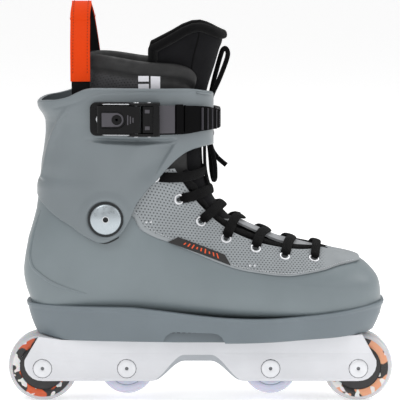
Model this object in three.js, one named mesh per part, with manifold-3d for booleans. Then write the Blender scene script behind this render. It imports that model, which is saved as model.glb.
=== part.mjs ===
// One in-line skate for the right foot, in millimetres.
// X points to the toe, -Y to the outer (buckle) side and Z up. The origin is on the ground,
// in the plane of the wheels, midway between the first and the last axle.
import * as THREE from 'three';
import Module from 'manifold-3d';
import { mergeVertices } from 'three/addons/utils/BufferGeometryUtils.js';

const wasm = await Module();
wasm.setup();

// ---- driving dimensions ----------------------------------------------------------------
const fit = 0.3; // gap left between pieces that touch
// wheels and axles
const outerWheelDiameter = 58;
const innerWheelDiameter = 46;
const wheelBase = 261.2; // first axle to last axle
const rearInnerAxleX = -60.9;
const frontInnerAxleX = 58;
const wheelWidth = 24;
const treadFlat = 13; // flat band that meets the ground
const wheelClearance = 2; // round each wheel, in the frame and the sole
const hubDiameterShare = 0.66; // hub to wheel diameter
const bearingOutside = 22;
const bearingBore = 8;
const bearingWidth = 7;
const axleHeadDiameter = 15.6;
const axleHeadThickness = 2.5;
const driverSocket = 3.2; // across the hex sockets of the axle screws
// frame
const frameWall = 5;
const frameFlare = 5; // how far the upper walls lean out
const frameEndRadius = 15;
const frameBelowAxle = 10.7;
const creaseAboveAxle = 13.3;
const soleAboveAxle = 25; // where the sole plate sits, at the middle of the frame
const frameCornerInset = 2.4; // upper corners of the frame, inside the outer axles
const deckThickness = 8;
const archStart = 38; // half the length of the arch at its foot
const archFlat = 11; // half the length of its flat top
const archCentre = -2.3;
const archTopBelowAxle = -2.5; // the arch's flat top is this far under the axle line
const mountBoltSpacing = 165;
const mountBoltDiameter = 6;
const mountHeadDiameter = 10;
const mountHeadThickness = 4;
const mountSocket = 2.5; // radius of the hex socket
const mountNutLength = 9;
const mountNutBarrel = 5.5; // radius
const mountNutFlange = 9; // radius
const mountFlangeThickness = 2.4;
// sole plate
const soleHeelX = -143;
const soleToeX = 151.5;
const soleSeam = 30.5; // top edge of the plate above its underside
const seamDip = 8; // the seam is lower at the middle of the foot
const heelRise = 3.4; // the underside lifts at its two ends
const toeSpring = 5;
const grooveStart = -31.5; // soul groove
const grooveEnd = 21;
const grooveHeight = 9.5;
const grooveDepth = 8;
// boot
const bootFloor = 18; // underside of the shell above the underside of the sole plate
const shellWall = 3.4;
const toeShift = 7; // the toe points to the inner side
const ankleHeight = 146; // where sections stop turning and lie flat, above the sole plate
const throatX = 30; // the point that the turning sections share
const throatHalfWidth = 21; // opening over the instep
const throatFront = 108;
const skinThickness = 1.5;
const linerGap = 0.9;
const linerWall = 6.5;
const tongueThickness = 6;
const linerFloorRise = 9; // over the heel pad
const footbedThickness = 5;
// cuff
const pivotX = -76.4;
const pivotHeight = 104; // above the underside of the sole plate
const cuffWall = 3.6;
const cuffLean = 10; // degrees that the cuff leans forward
const cuffHalfWidth = 48.5;
const shellTopRadius = 52; // the shell's rim, round the pivot
const linerSplitRadius = 56; // the liner bends here, round the pivot
const cuffOpening = 9; // half the open front
const pivotCapDiameter = 25;
const pivotShank = 4; // radius
const pivotSocket = 4.4;
const pivotCapThickness = 2.2;
const pivotNutRadius = 9;
// buckle
const buckleRear = -88.5;
const buckleFront = -32.3;
const buckleHeight = 185.5; // middle of the buckle above the underside of the sole plate
const buckleWidth = 27;
const leverPinX = -51.4;
const buckleScrewX = -80;
const buckleScrewRadius = 2;
const buckleScrewHead = 3.6; // radius
const bucklePlate = 2.2; // thickness of its plate and its side rails
const buckleDepth = 10;
const pawlX = -41;
const strapWidth = 21;
const strapThickness = 3;
const strapGap = 1.5; // from the cuff
const strapStart = -1.47; // angles round the cuff, from its front
const strapEnd = 1.3;
const sleeveWidth = 25;
const sleeveThickness = 1.4;
const sleeveStart = -0.95;
const sleeveEnd = -0.62;
// soft pieces
const laceLoopWidth = 4;
const laceThickness = 3;
const loopTop = 277; // pull loop above the underside of the sole plate
const loopWidth = 16;
const loopThickness = 2;
const loopX = -97;

// values worked out from the ones above
const axleHeight = outerWheelDiameter / 2;
const sole = axleHeight + soleAboveAxle;
const halfInside = wheelWidth / 2 + 1.6; // inner faces of the frame walls
const halfFrame = halfInside + frameWall;
const frameBottom = axleHeight - frameBelowAxle;
const axles = [
  ['rear', -wheelBase / 2, outerWheelDiameter],
  ['rear_inner', rearInnerAxleX, innerWheelDiameter],
  ['front_inner', frontInnerAxleX, innerWheelDiameter],
  ['front', wheelBase / 2, outerWheelDiameter],
];

// ---- colours ----------------------------------------------------------------------------
const looks = {
  shell: [0x7f8b90, 0.42, 0],
  cuff: [0x788083, 0.45, 0],
  sole: [0x748086, 0.5, 0],
  skin: [0x9aa0a3, 0.8, 0],
  frame: [0xeeeff2, 0.38, 0],
  lining: [0x202022, 0.95, 0],
  lace: [0x0d0d0f, 0.9, 0],
  buckle: [0x2b2b2c, 0.4, 0],
  strap: [0x141414, 0.5, 0],
  steel: [0xb9bcc0, 0.3, 0.9],
  white: [0xe6e7ea, 0.35, 0.2],
  urethane: [0xb9babd, 0.3, 0],
  milk: [0xcfd2e5, 0.3, 0],
  hub: [0x1a1a1b, 0.5, 0],
  orange: [0xe14a13, 0.85, 0],
  foam: [0x3a3b3e, 0.95, 0],
  badge: [0x161616, 0.6, 0],
};

// ---- geometry helpers -------------------------------------------------------------------
const { smoothstep, lerp, degToRad } = THREE.MathUtils;

// A closed three.js geometry as a solid that can be joined and cut.
function solid(geometry) {
  const bare = new THREE.BufferGeometry();
  bare.setAttribute('position', geometry.getAttribute('position'));
  bare.setIndex(geometry.getIndex());
  const merged = mergeVertices(bare, 1e-4);
  const mesh = new wasm.Mesh({
    numProp: 3,
    vertProperties: Float32Array.from(merged.getAttribute('position').array),
    triVerts: Uint32Array.from(merged.getIndex().array),
  });
  return new wasm.Manifold(mesh);
}

function geometryOf(body) {
  const mesh = body.getMesh();
  const geometry = new THREE.BufferGeometry();
  geometry.setAttribute('position', new THREE.BufferAttribute(mesh.vertProperties, 3));
  geometry.setIndex(new THREE.BufferAttribute(mesh.triVerts, 1));
  return geometry;
}

const box = (x0, x1, y0, y1, z0, z1) =>
  solid(new THREE.BoxGeometry(x1 - x0, y1 - y0, z1 - z0)
    .translate((x0 + x1) / 2, (y0 + y1) / 2, (z0 + z1) / 2));

// A cylinder along Y.
const rod = (x, z, radius, y0, y1, sides = 24) =>
  solid(new THREE.CylinderGeometry(radius, radius, y1 - y0, sides)
    .translate(x, (y0 + y1) / 2, z));

// A cylinder along Z.
const post = (x, y, radius, z0, z1, sides = 20) =>
  solid(new THREE.CylinderGeometry(radius, radius, z1 - z0, sides)
    .rotateX(Math.PI / 2).translate(x, y, (z0 + z1) / 2));

// An outline of [x, z] points pushed through from y0 to y1.
function sideSlab(points, y0, y1) {
  const shape = new THREE.Shape(points.map(([x, z]) => new THREE.Vector2(x, z)));
  const geometry = new THREE.ExtrudeGeometry(shape, { depth: y1 - y0, bevelEnabled: false });
  return solid(geometry.rotateX(Math.PI / 2).translate(0, y1, 0));
}

// An outline of [x, y] points pushed up from z0 to z1.
function planSlab(points, z0, z1) {
  const shape = new THREE.Shape(points.map(([x, y]) => new THREE.Vector2(x, y)));
  const geometry = new THREE.ExtrudeGeometry(shape, { depth: z1 - z0, bevelEnabled: false });
  return solid(geometry.translate(0, 0, z0));
}

// An outline of [y, z] points pushed through from x0 to x1.
function crossSlab(points, x0, x1) {
  const shape = new THREE.Shape(points.map(([y, z]) => new THREE.Vector2(y, z)));
  const geometry = new THREE.ExtrudeGeometry(shape, { depth: x1 - x0, bevelEnabled: false });
  return solid(geometry.rotateX(Math.PI / 2).rotateZ(Math.PI / 2).translate(x0, 0, 0));
}

// A solid of revolution about Y: [radius, y] points that close on themselves or on the axis.
function turned(points, sides) {
  const profile = points.map(([r, y]) => new THREE.Vector2(r, y));
  if (THREE.ShapeUtils.area(profile) < 0) profile.reverse();
  return solid(new THREE.LatheGeometry(profile, sides, Math.PI / sides));
}

// A skin over rings of points, closed with a fan at each end.
function loft(rings) {
  const n = rings[0].length;
  const positions = rings.flat().flatMap((p) => [p.x, p.y, p.z]);
  const index = [];
  for (let i = 0; i + 1 < rings.length; i += 1) {
    for (let j = 0; j < n; j += 1) {
      const a = i * n + j;
      const b = i * n + (j + 1) % n;
      index.push(a, b, b + n, a, b + n, a + n);
    }
  }
  const last = (rings.length - 1) * n;
  for (const [base, flip] of [[0, true], [last, false]]) {
    const centre = positions.length / 3;
    const sum = new THREE.Vector3();
    for (let j = 0; j < n; j += 1) sum.add(rings[base / n][j]);
    positions.push(...sum.divideScalar(n).toArray());
    for (let j = 0; j < n; j += 1) {
      const a = base + j;
      const b = base + (j + 1) % n;
      index.push(...(flip ? [centre, b, a] : [centre, a, b]));
    }
  }
  const geometry = new THREE.BufferGeometry();
  geometry.setAttribute('position', new THREE.Float32BufferAttribute(positions, 3));
  geometry.setIndex(index);
  return solid(geometry);
}

// A smooth curve of value against position through a few [position, value] pairs.
function curve(pairs) {
  const slope = pairs.map((p, i) => {
    const a = pairs[Math.max(i - 1, 0)];
    const b = pairs[Math.min(i + 1, pairs.length - 1)];
    return (b[1] - a[1]) / (b[0] - a[0]);
  });
  return (v) => {
    if (v <= pairs[0][0]) return pairs[0][1];
    if (v >= pairs.at(-1)[0]) return pairs.at(-1)[1];
    const i = pairs.findIndex((p) => p[0] > v) - 1;
    const span = pairs[i + 1][0] - pairs[i][0];
    const t = (v - pairs[i][0]) / span;
    const a = pairs[i][1];
    const b = pairs[i + 1][1];
    const h = t * t * (3 - 2 * t);
    return a + (b - a) * h + span * (slope[i] * t * (1 - t) ** 2 - slope[i + 1] * t * t * (1 - t));
  };
}

// A smooth line through [x, y] points, as more points.
function through(points, count) {
  const line = new THREE.CatmullRomCurve3(
    points.map(([x, y]) => new THREE.Vector3(x, y, 0)), false, 'centripetal');
  return line.getPoints(count).map((p) => [p.x, p.y]);
}

// Points of an arc in a plane, from one angle to another in degrees.
function arc(cx, cy, radius, from, to, steps) {
  return Array.from({ length: steps + 1 }, (_, i) => {
    const a = degToRad(lerp(from, to, i / steps));
    return [cx + radius * Math.cos(a), cy + radius * Math.sin(a)];
  });
}

// A bar of constant section swept along a line of points.
function swept(points, thickness, steps) {
  const path = new THREE.CatmullRomCurve3(points.map((p) => new THREE.Vector3(...p)));
  const shape = new THREE.Shape(
    Array.from({ length: 8 }, (_, i) => {
      const a = (i + 0.5) * Math.PI / 4;
      return new THREE.Vector2(Math.cos(a) * thickness / 1.85, Math.sin(a) * thickness / 1.85);
    }));
  return solid(new THREE.ExtrudeGeometry(shape, { extrudePath: path, steps, bevelEnabled: false }));
}

const power = (v, e) => Math.sign(v) * Math.abs(v) ** e;

// ---- the boot's form, with heights above the underside of the sole plate -------------------
const insideLine = curve([
  [30, 98], [40, 93], [50, 88.5], [62, 83], [78, 78.5], [95, 74], [110, 70], [122, 67.5],
  [130, 65], [137, 60.5], [143, 54.5], [148, 47], [150, 38],
]);
const heelLine = curve([
  [10, -139], [30, -141], [44, -144.8], [56, -146.3], [70, -144.6], [80, -142.8], [90, -140.2],
  [100, -136.8], [110, -134.7], [122, -132.8], [136, -127], [155, -120.5], [180, -112], [196, -106],
  [240, -101],
]);
const frontLine = curve([[120, 6], [146, 2], [176, 2], [206, 6], [232, 12], [262, 17]]);
const footWidth = curve([
  [-147, 36], [-110, 38.5], [-60, 39], [-20, 41], [25, 47], [62, 51], [95, 50.5], [150, 47],
]);
const ankleWidth = curve([[-147, 40], [-76, 42], [-30, 41], [10, 36], [60, 30]]);

function halfWidth(x, h) {
  const toe = Math.max(0, (x - 88) / 62.5);
  const round = (1 - Math.min(toe, 1) ** 2.5) ** 0.5;
  return lerp(footWidth(x), ankleWidth(x), smoothstep(h, 48, 100)) * round;
}

const sideShift = (x) => toeShift * smoothstep(x, 10, 130);

// The plane of a section: place -1 is near the toe tip, 0 is upright at the throat and 1 lies flat
// at the ankle; past 1 the planes climb the leg.
const crown = [0.95, 0.85];
const flatEnd = [0.36, 0.42];
const round = [0.92, 0.9];
const toeEnd = 149.6;

function plane(place, inset) {
  if (place <= 0) {
    const x = throatX + (toeEnd - inset - throatX) * Math.sin((-place * Math.PI) / 2);
    return { cx: x, cz: ankleHeight, dx: 0, dz: -1, near: ankleHeight - insideLine(x),
      far: ankleHeight - bootFloor, ends: [crown, flatEnd], lift: 1 };
  }
  if (place > 1) {
    const h = ankleHeight + (place - 1) * 100;
    return { cx: throatX, cz: h, dx: -1, dz: 0, near: throatX - frontLine(h),
      far: throatX - heelLine(h), ends: [round, round], lift: 0 };
  }
  const dx = -Math.sin((place * Math.PI) / 2);
  const dz = -Math.cos((place * Math.PI) / 2);
  const toFloor = (ankleHeight - bootFloor) / Math.max(-dz, 1e-3);
  let toHeel = 170;
  for (let k = 0; k < 8; k += 1) {
    toHeel = (throatX - heelLine(ankleHeight + dz * toHeel)) / Math.max(-dx, 1e-3);
  }
  const far = (toFloor ** -22 + toHeel ** -22) ** (-1 / 22);
  const start = ankleHeight - insideLine(throatX);
  const near = lerp(start, throatX - frontLine(ankleHeight), smoothstep(place, 0, 1));
  const mix = (u, v) => [lerp(u[0], v[0], place), lerp(u[1], v[1], place)];
  return { cx: throatX, cz: ankleHeight, dx, dz, near, far,
    ends: [mix(crown, round), mix(flatEnd, round)], lift: 1 - place };
}

// A point of the boot's form on the plane at a place, at an angle round it: 0 is the middle of
// the instep side and pi the middle of the sole side. The form is smaller by the inset all
// round, and the sole side comes up by the raise.
function onForm(place, angle, inset, raise = 0) {
  const { cx, cz, dx, dz, near, far, ends, lift } = plane(place, inset);
  const c = Math.cos(angle);
  const e = c > 0 ? ends[0] : ends[1];
  const drop = c > 0 ? 0 : raise * lift;
  const reach = Math.max((far - near) / 2 - inset - drop, 0.4);
  const r = (near + far) / 2 - reach * power(c, e[0]);
  const x = cx + dx * r;
  const h = cz + dz * r;
  const w = Math.max(halfWidth(x, h) - inset, 0.4);
  return new THREE.Vector3(x, sideShift(x) + w * power(Math.sin(angle), e[1]), h);
}

const onRing = (count, at) =>
  Array.from({ length: count }, (_, i) => at(((i + 0.5) / count) * 2 * Math.PI));

// The whole boot as one solid: sections stand upright over the forefoot, turn round the throat
// behind it and lie flat up the leg.
const formPlaces = [-1, -0.9, -0.77, -0.62, -0.46, -0.3, -0.15, 0, 0.15, 0.3, 0.43, 0.53, 0.6,
  0.68, 0.78, 0.89, 1];

function bootForm({ inset = 0, raise = 0, top = 230, count = 26 }) {
  const leg = [0.35, 0.7, 1].map((t) => 1 + (t * (top - ankleHeight)) / 100);
  return loft([...formPlaces, ...leg].map((p) => onRing(count, (a) => onForm(p, a, inset, raise))));
}

// ---- wheels -------------------------------------------------------------------------------
const hubRadius = (diameter) => (diameter * hubDiameterShare) / 2;

function tyre(diameter) {
  const sides = 24;
  const r = diameter / 2 / Math.cos(Math.PI / sides);
  const half = wheelWidth / 2;
  const bore = hubRadius(diameter) + fit;
  return turned([
    [bore, -half], [r * 0.92, -half], [r - 0.9, -half + 3], [r, -treadFlat / 2],
    [r, treadFlat / 2], [r - 0.9, half - 3], [r * 0.92, half], [bore, half], [bore, -half],
  ], sides);
}

function hub(diameter) {
  const half = wheelWidth / 2;
  const r = hubRadius(diameter);
  const seat = bearingOutside / 2 + fit;
  const lip = seat - 2;
  const seatEnd = half - bearingWidth - fit;
  return turned([
    [seat, -half], [r, -half], [r, half], [seat, half], [seat, seatEnd], [lip, seatEnd],
    [lip, -seatEnd], [seat, -seatEnd], [seat, -half],
  ], 16);
}

function bearing() {
  const r = bearingOutside / 2;
  const b = bearingBore / 2 + fit / 2;
  const h = bearingWidth / 2;
  return turned([[b, -h], [r, -h], [r, h], [b, h], [b, -h]], 12);
}

function bearingSpacer() {
  const b = bearingBore / 2 + fit / 2;
  const h = wheelWidth / 2 - bearingWidth - fit;
  return turned([[b, -h], [b + 1.6, -h], [b + 1.6, h], [b, h], [b, -h]], 10);
}

const hexSocket = (radius) => solid(new THREE.CylinderGeometry(radius, radius, 3, 6));

function axleScrew() {
  const r = bearingBore / 2 - fit / 2;
  const head = axleHeadDiameter / 2;
  const tip = halfFrame - 1;
  const body = turned([
    [0, -halfFrame], [head - 0.4, -halfFrame], [head, -halfFrame + 0.4],
    [head, -halfFrame + axleHeadThickness], [r, -halfFrame + axleHeadThickness], [r, tip], [0, tip],
  ], 12);
  return body.subtract(hexSocket(driverSocket / 2).translate(0, -halfFrame, 0));
}

function axleNut() {
  const bore = bearingBore / 2 + fit / 2;
  const head = axleHeadDiameter / 2;
  return turned([
    [0, halfFrame], [head - 0.4, halfFrame], [head, halfFrame - 0.4],
    [head, halfFrame - axleHeadThickness], [bore, halfFrame - axleHeadThickness],
    [bore, halfFrame - 0.7], [0, halfFrame - 0.7], [0, halfFrame],
  ], 12);
}

// ---- frame --------------------------------------------------------------------------------
// How far the underside of the sole plate lies above its middle, along the skate.
const soleLift = (x) =>
  heelRise * smoothstep(-x, 108, 136) + toeSpring * Math.max(0, (x - 21) / 110) ** 1.4;

function frameOutline() {
  const endX = wheelBase / 2;
  const cornerX = endX + frameCornerInset;
  const foot = frameBottom;
  const rise = axleHeight + archTopBelowAxle - foot + 8.5;
  const archSide = (side) => Array.from({ length: 9 }, (_, i) => {
    const t = i / 8;
    return [archCentre + side * lerp(archStart, archFlat, t), foot + rise * smoothstep(t, 0, 1)];
  });
  const top = Array.from({ length: 15 }, (_, i) => {
    const x = lerp(cornerX, -cornerX, i / 14);
    return [x, sole - fit + soleLift(x)];
  });
  return [
    ...arc(-endX, foot + frameEndRadius, frameEndRadius, 170, 270, 6),
    ...archSide(-1), ...archSide(1).reverse(),
    ...arc(endX, foot + frameEndRadius, frameEndRadius, -90, 10, 6),
    ...top,
  ];
}

function frame() {
  const crease = axleHeight + creaseAboveAxle;
  const high = sole + 10;
  const flare = halfFrame + frameFlare * ((high - crease) / (sole - crease));
  const half = [[halfFrame - 1.4, 0], [halfFrame - 1.4, frameBottom], [halfFrame, frameBottom + 2],
    [halfFrame, crease], [flare, high]];
  const across = [...half, ...half.map(([y, z]) => [-y, z]).reverse()];
  const length = wheelBase + 60;
  const walls = crossSlab(across, -length / 2, length / 2);
  let body = sideSlab(frameOutline(), -60, 60).intersect(walls);
  const deckUnder = sole - deckThickness;
  const bridge = archStart - 4;
  for (const side of [-1, 1]) {
    const near = archCentre + side * bridge;
    const far = side * (wheelBase / 2 + 40);
    body = body.subtract(box(Math.min(near, far), Math.max(near, far),
      -halfInside, halfInside, 0, deckUnder));
  }
  for (const [, x, diameter] of axles) {
    const clear = diameter / 2 + wheelClearance;
    body = body.subtract(rod(x, axleHeight, clear, -halfInside, halfInside, 24));
    const window = Math.sqrt(Math.max(clear ** 2 - (deckUnder - axleHeight) ** 2, 1));
    body = body.subtract(box(x - window, x + window, -halfInside, halfInside, deckUnder - 1, high));
    body = body.subtract(rod(x, axleHeight, bearingBore / 2 + fit, -60, 60, 12));
    for (const side of [-1, 1]) {
      const inner = halfFrame - axleHeadThickness - fit;
      body = body.subtract(rod(x, axleHeight, axleHeadDiameter / 2 + fit,
        side > 0 ? inner : -60, side > 0 ? 60 : -inner, 16));
    }
  }
  for (const side of [-1, 1]) {
    const x = (side * mountBoltSpacing) / 2;
    body = body.subtract(post(x, 0, mountBoltDiameter / 2 + fit, 0, high + 5));
    body = body.subtract(post(x, 0, mountHeadDiameter / 2 + fit, 0, deckUnder + mountHeadThickness));
  }
  return body;
}

// Everything below this line uses heights above the underside of the sole plate.
function mountBolt(x) {
  const top = bootFloor - 3;
  const head = -deckThickness + mountHeadThickness - fit;
  const shank = post(x, 0, mountBoltDiameter / 2, head - 0.5, top);
  const body = shank.add(post(x, 0, mountHeadDiameter / 2, head - mountHeadThickness, head));
  return body.subtract(post(x, 0, mountSocket, head - mountHeadThickness - 1, head - 1.6, 6));
}

function mountNut(x) {
  const top = bootFloor - fit;
  const flange = post(x, 0, mountNutFlange, top - mountFlangeThickness, top);
  const barrel = post(x, 0, mountNutBarrel, top - mountNutLength, top - 2);
  const bore = post(x, 0, mountBoltDiameter / 2 + fit / 2, top - mountNutLength - 3, top + 1);
  return flange.add(barrel).subtract(bore);
}

// ---- sole plate -----------------------------------------------------------------------------
function soleRing(t, count) {
  const middle = (soleHeelX + soleToeX) / 2;
  const reach = (soleToeX - soleHeelX) / 2 - 8 * (1 - t) ** 1.6;
  return onRing(count, (a) => {
    const x = middle + reach * power(Math.cos(a), 0.82);
    const seam = soleSeam - seamDip * Math.max(0, 1 - ((x - 45) / 105) ** 2) ** 1.5;
    const w = footWidth(x) + 3 - 9 * (1 - t) ** 1.4;
    return new THREE.Vector3(x, sideShift(x) + w * power(Math.sin(a), 0.62),
      lerp(soleLift(x), seam, t));
  });
}

function solePlate() {
  const rings = [0, 0.15, 0.4, 0.7, 1].map((t) => soleRing(t, 44));
  let body = loft(rings);
  body = body.subtract(bootForm({ inset: -fit, top: 160 }))
    .subtract(bootForm({ inset: 0, top: 160 }).translate(fit, 0, 0));
  const wheelDrop = axleHeight - sole;
  for (const [, x, diameter] of axles) {
    body = body.subtract(rod(x, wheelDrop, diameter / 2 + wheelClearance,
      -halfInside, halfInside, 24));
  }
  const groove = [
    ...through([[grooveStart, -1], [grooveStart + 1, 1], [grooveStart + 8, grooveHeight],
      [grooveStart + 14, grooveHeight]], 8),
    ...through([[grooveEnd - 14, grooveHeight], [grooveEnd - 8, grooveHeight], [grooveEnd - 1, 1],
      [grooveEnd, -1]], 8),
  ];
  for (const side of [-1, 1]) {
    const inner = 41 - grooveDepth;
    body = body.subtract(sideSlab(groove, side > 0 ? inner : -90, side > 0 ? 90 : -inner));
  }
  for (const side of [-1, 1]) {
    const x = (side * mountBoltSpacing) / 2;
    body = body.subtract(post(x, 0, mountNutBarrel + fit, bootFloor - mountNutLength - 2 * fit, 60));
    body = body.subtract(post(x, 0, mountNutFlange + fit,
      bootFloor - mountFlangeThickness - 2 * fit, 60));
    body = body.subtract(post(x, 0, mountBoltDiameter / 2 + fit, -10, 60));
  }
  return body;
}

// ---- boot shell, skin, liner -------------------------------------------------------------------
const skinLower = [
  [-60, 108], [-53.7, 104.7], [-49, 96], [-39, 89.5], [-26.3, 84.6], [24.7, 64.3], [53.6, 58.9],
  [71, 57.3], [81, 58], [101, 60.8], [114, 63.5], [124, 64.5], [131, 63],
];
const skinUpper = [
  [131, 72], [112, 76.5], [92, 82], [70, 89], [45, 95], [22, 104], [4, 116], [-14, 128],
  [-25, 143], [-31, 158],
];

function shellTopCut() {
  const rim = arc(pivotX, pivotHeight, shellTopRadius, 20, 163, 18);
  return sideSlab([
    ...rim, [-160, rim.at(-1)[1]], [-160, 300], [200, 300], [200, 120], [118, 84], [100, 66], [40, 80],
    [10, 92], [-14, 108],
  ], -90, 90);
}

function bootShell() {
  let body = bootForm({ top: 170 });
  body = body.subtract(bootForm({ inset: shellWall, top: 171 }));
  body = body.subtract(shellTopCut());
  for (const side of [-1, 1]) {
    body = body.subtract(rod(pivotX, pivotHeight, pivotShank + fit,
      side > 0 ? 20 : -60, side > 0 ? 60 : -20, 16));
  }
  return body;
}

function skin() {
  const outline = [...through(skinLower, 30), ...skinUpper, [-60, 158]];
  let body = bootForm({ inset: -skinThickness - fit, top: 170 });
  body = body.subtract(bootForm({ inset: -fit, top: 171 }));
  body = body.intersect(sideSlab(outline, -90, 90));
  body = body.subtract(planSlab([
    [-90, -throatHalfWidth - 8], [40, -throatHalfWidth], ...arc(throatFront - throatHalfWidth, 4,
      throatHalfWidth, -90, 90, 10), [40, throatHalfWidth + 4], [-90, throatHalfWidth + 8],
  ], 40, 300));
  return body;
}

// A closed strip of the boot's form between two insets.
const layer = (outer, inner, top) =>
  bootForm({ inset: outer, raise: linerFloorRise, top })
    .subtract(bootForm({ inset: inner, raise: linerFloorRise, top: top + 5 }));

const linerOuter = shellWall + linerGap;
const linerRim = [
  [-150, 233], [-86, 235], [-48.5, 230], [-20, 227.6], [-6, 222], [2, 208], [-2, 180], [-14, 152],
  [-20, 140], [-20, 128], [2, 122], [30, 104], [60, 92], [96, 80], [104, 60], [104, -40], [-150, -40],
];

// Inside this line a piece belongs to the leg, and it turns with the cuff.
const legRegion = (radius, from) => {
  const far = 400;
  return sideSlab([
    ...arc(pivotX, pivotHeight, radius, from, 176, 30),
    [pivotX - far, pivotHeight + far * 0.07], [pivotX - far, far], [pivotX + far, far],
    [pivotX + far * Math.cos(degToRad(from)), pivotHeight + far * Math.sin(degToRad(from))],
  ], -90, 90);
};
const bendFrom = 24; // degrees above level, seen from the pivot, where the leg pieces start
const flexGap = cuffLean + 2; // degrees left between the two halves of the liner

function liner() {
  const whole = layer(linerOuter, linerOuter + linerWall, 242).intersect(sideSlab(linerRim, -90, 90));
  const throat = planSlab([[-30, -19], [30, -14], [92, -14], [92, 22], [30, 18], [-30, 19]], 70, 260);
  let body = whole.subtract(throat);
  for (const side of [-1, 1]) {
    body = body.subtract(rod(pivotX, pivotHeight, pivotNutRadius + 2 * fit,
      side > 0 ? 32.8 : -60, side > 0 ? 60 : -32.8, 16));
  }
  return body;
}

const linerLower = () => liner().subtract(legRegion(linerSplitRadius, bendFrom - flexGap))
  .subtract(tongueForm(1.6));

// The upper half slides over the tongue as the cuff leans forward, so it is cleared for that.
function linerUpper() {
  let body = liner().intersect(legRegion(linerSplitRadius + 2 * fit, bendFrom));
  const tongueSpace = tongueForm(2.6).translate(-pivotX, 0, -pivotHeight);
  for (const t of [0, 0.25, 0.5, 0.75, 1]) {
    body = body.subtract(tongueSpace.rotate([0, -t * (cuffLean + 0.4), 0])
      .translate(pivotX, 0, pivotHeight));
  }
  return body;
}

function footbed() {
  const inset = linerOuter + linerWall + fit;
  const inside = bootForm({ inset, raise: linerFloorRise, top: 100 });
  const top = bootFloor + linerFloorRise + inset + footbedThickness;
  return inside.intersect(box(-200, 98, -90, 90, 0, top));
}

function heelPad() {
  const outline = [...arc(-100, 0, 27, 90, 270, 10), [-40, -27], [-40, 27]];
  const level = bootFloor + linerFloorRise + linerOuter;
  return bootForm({ inset: shellWall + fit, top: 100 })
    .intersect(planSlab(outline, 0, level - fit))
    .subtract(bootForm({ inset: linerOuter - fit, raise: linerFloorRise, top: 110 }));
}

// ---- tongue -----------------------------------------------------------------------------------
function tongueForm(margin = 0) {
  const crest = [
    [101, 62.5], [80, 72], [60, 79], [42, 87], [26, 98], [13, 112], [4, 130], [1, 150], [1, 180],
    [4, 205], [10, 232], [15, 250], [17, 261],
  ];
  const line = new THREE.CatmullRomCurve3(crest.map(([x, h]) => new THREE.Vector3(x, 0, h)));
  const rings = [];
  const steps = 18;
  for (let i = 0; i <= steps; i += 1) {
    const t = i / steps;
    const at = line.getPointAt(t);
    const along = line.getTangentAt(t);
    const up = new THREE.Vector3(along.z, 0, -along.x).negate();
    const top = smoothstep(t, 0.8, 0.96);
    const spread = lerp(14, 27.5, smoothstep(t, 0.3, 0.75)) + 2.5 * top + margin;
    const bend = lerp(5, 44, smoothstep(t, 0.3, 0.75)) + 30 * top;
    const ring = [];
    const count = 8;
    const edge = (v, depth) => {
      const drop = bend * (1 - Math.sqrt(Math.max(1 - (v * 0.96) ** 2, 0)));
      const y = v * spread + sideShift(at.x);
      return at.clone().addScaledVector(up, drop + depth).setY(y);
    };
    const wide = 1 + margin / 42;
    for (let j = 0; j <= count; j += 1) ring.push(edge(lerp(-wide, wide, j / count), -margin));
    for (let j = count; j >= 0; j -= 1) {
      ring.push(edge(lerp(-0.84, 0.84, j / count), tongueThickness + margin));
    }
    rings.push(ring);
  }
  return loft(rings);
}

// ---- cuff ---------------------------------------------------------------------------------------
const cuffBack = curve([
  [60, -134], [126, -134.4], [131, -133.6], [136, -131.4], [146, -130.6], [158, -129],
  [180, -128.6], [185, -130.2], [190, -132.6], [195, -133.6], [215, -134],
]);
const cuffFront = 11;
const cuffEnds = [0.78, 0.8, 0.7]; // how boxy its plan is: front, back and sides
const cuffOutline = [
  [-140, 196], [-133.6, 194.8], [-124.6, 198.3], [-102.9, 201.5], [-88.5, 209.1], [-80.4, 209.9],
  [30, 208.8], [30, 165.4], [10.4, 165.4], [1.3, 162.4], [-10, 157.9], [-18.8, 151.8],
  [-30.9, 138.9], [-47.9, 117.7], [-54, 104.5], [-57.8, 97], [-62.8, 90.8], [-70.2, 86.1],
  [-76.4, 84.5], [-82.6, 86.1], [-91.8, 90.8], [-101.1, 97.6], [-113.8, 105.5], [-126.7, 117.3],
  [-134.4, 126.5], [-140, 127],
];

function cuffRing(h, inset, count) {
  const back = cuffBack(h) + inset;
  const front = cuffFront - inset;
  const middle = (back + front) / 2;
  return Array.from({ length: count }, (_, i) => {
    const a = ((i + 0.5) / count) * 2 * Math.PI;
    const e = Math.cos(a) > 0 ? cuffEnds[0] : cuffEnds[1];
    return new THREE.Vector3(middle + ((front - back) / 2) * power(Math.cos(a), e),
      (cuffHalfWidth - inset) * power(Math.sin(a), cuffEnds[2]), h);
  });
}

const cuffForm = (inset, low, high) => loft(
  [low, 126, 136, 158, 180, 190, high].map((h) => cuffRing(h, inset, 36)));

function cuff() {
  let body = cuffForm(0, 76, 214).subtract(cuffForm(cuffWall, 75, 215));
  body = body.intersect(sideSlab(cuffOutline, -90, 90));
  body = body.subtract(box(-30, 60, -cuffOpening, cuffOpening, 60, 240));
  for (const side of [-1, 1]) {
    const out = side > 0 ? [30, 60] : [-60, -30];
    body = body.subtract(rod(pivotX, pivotHeight, pivotShank + fit, ...out, 16));
  }
  return body.subtract(rod(buckleScrewX, buckleHeight, buckleScrewRadius + fit, -60, -30, 12));
}

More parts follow.
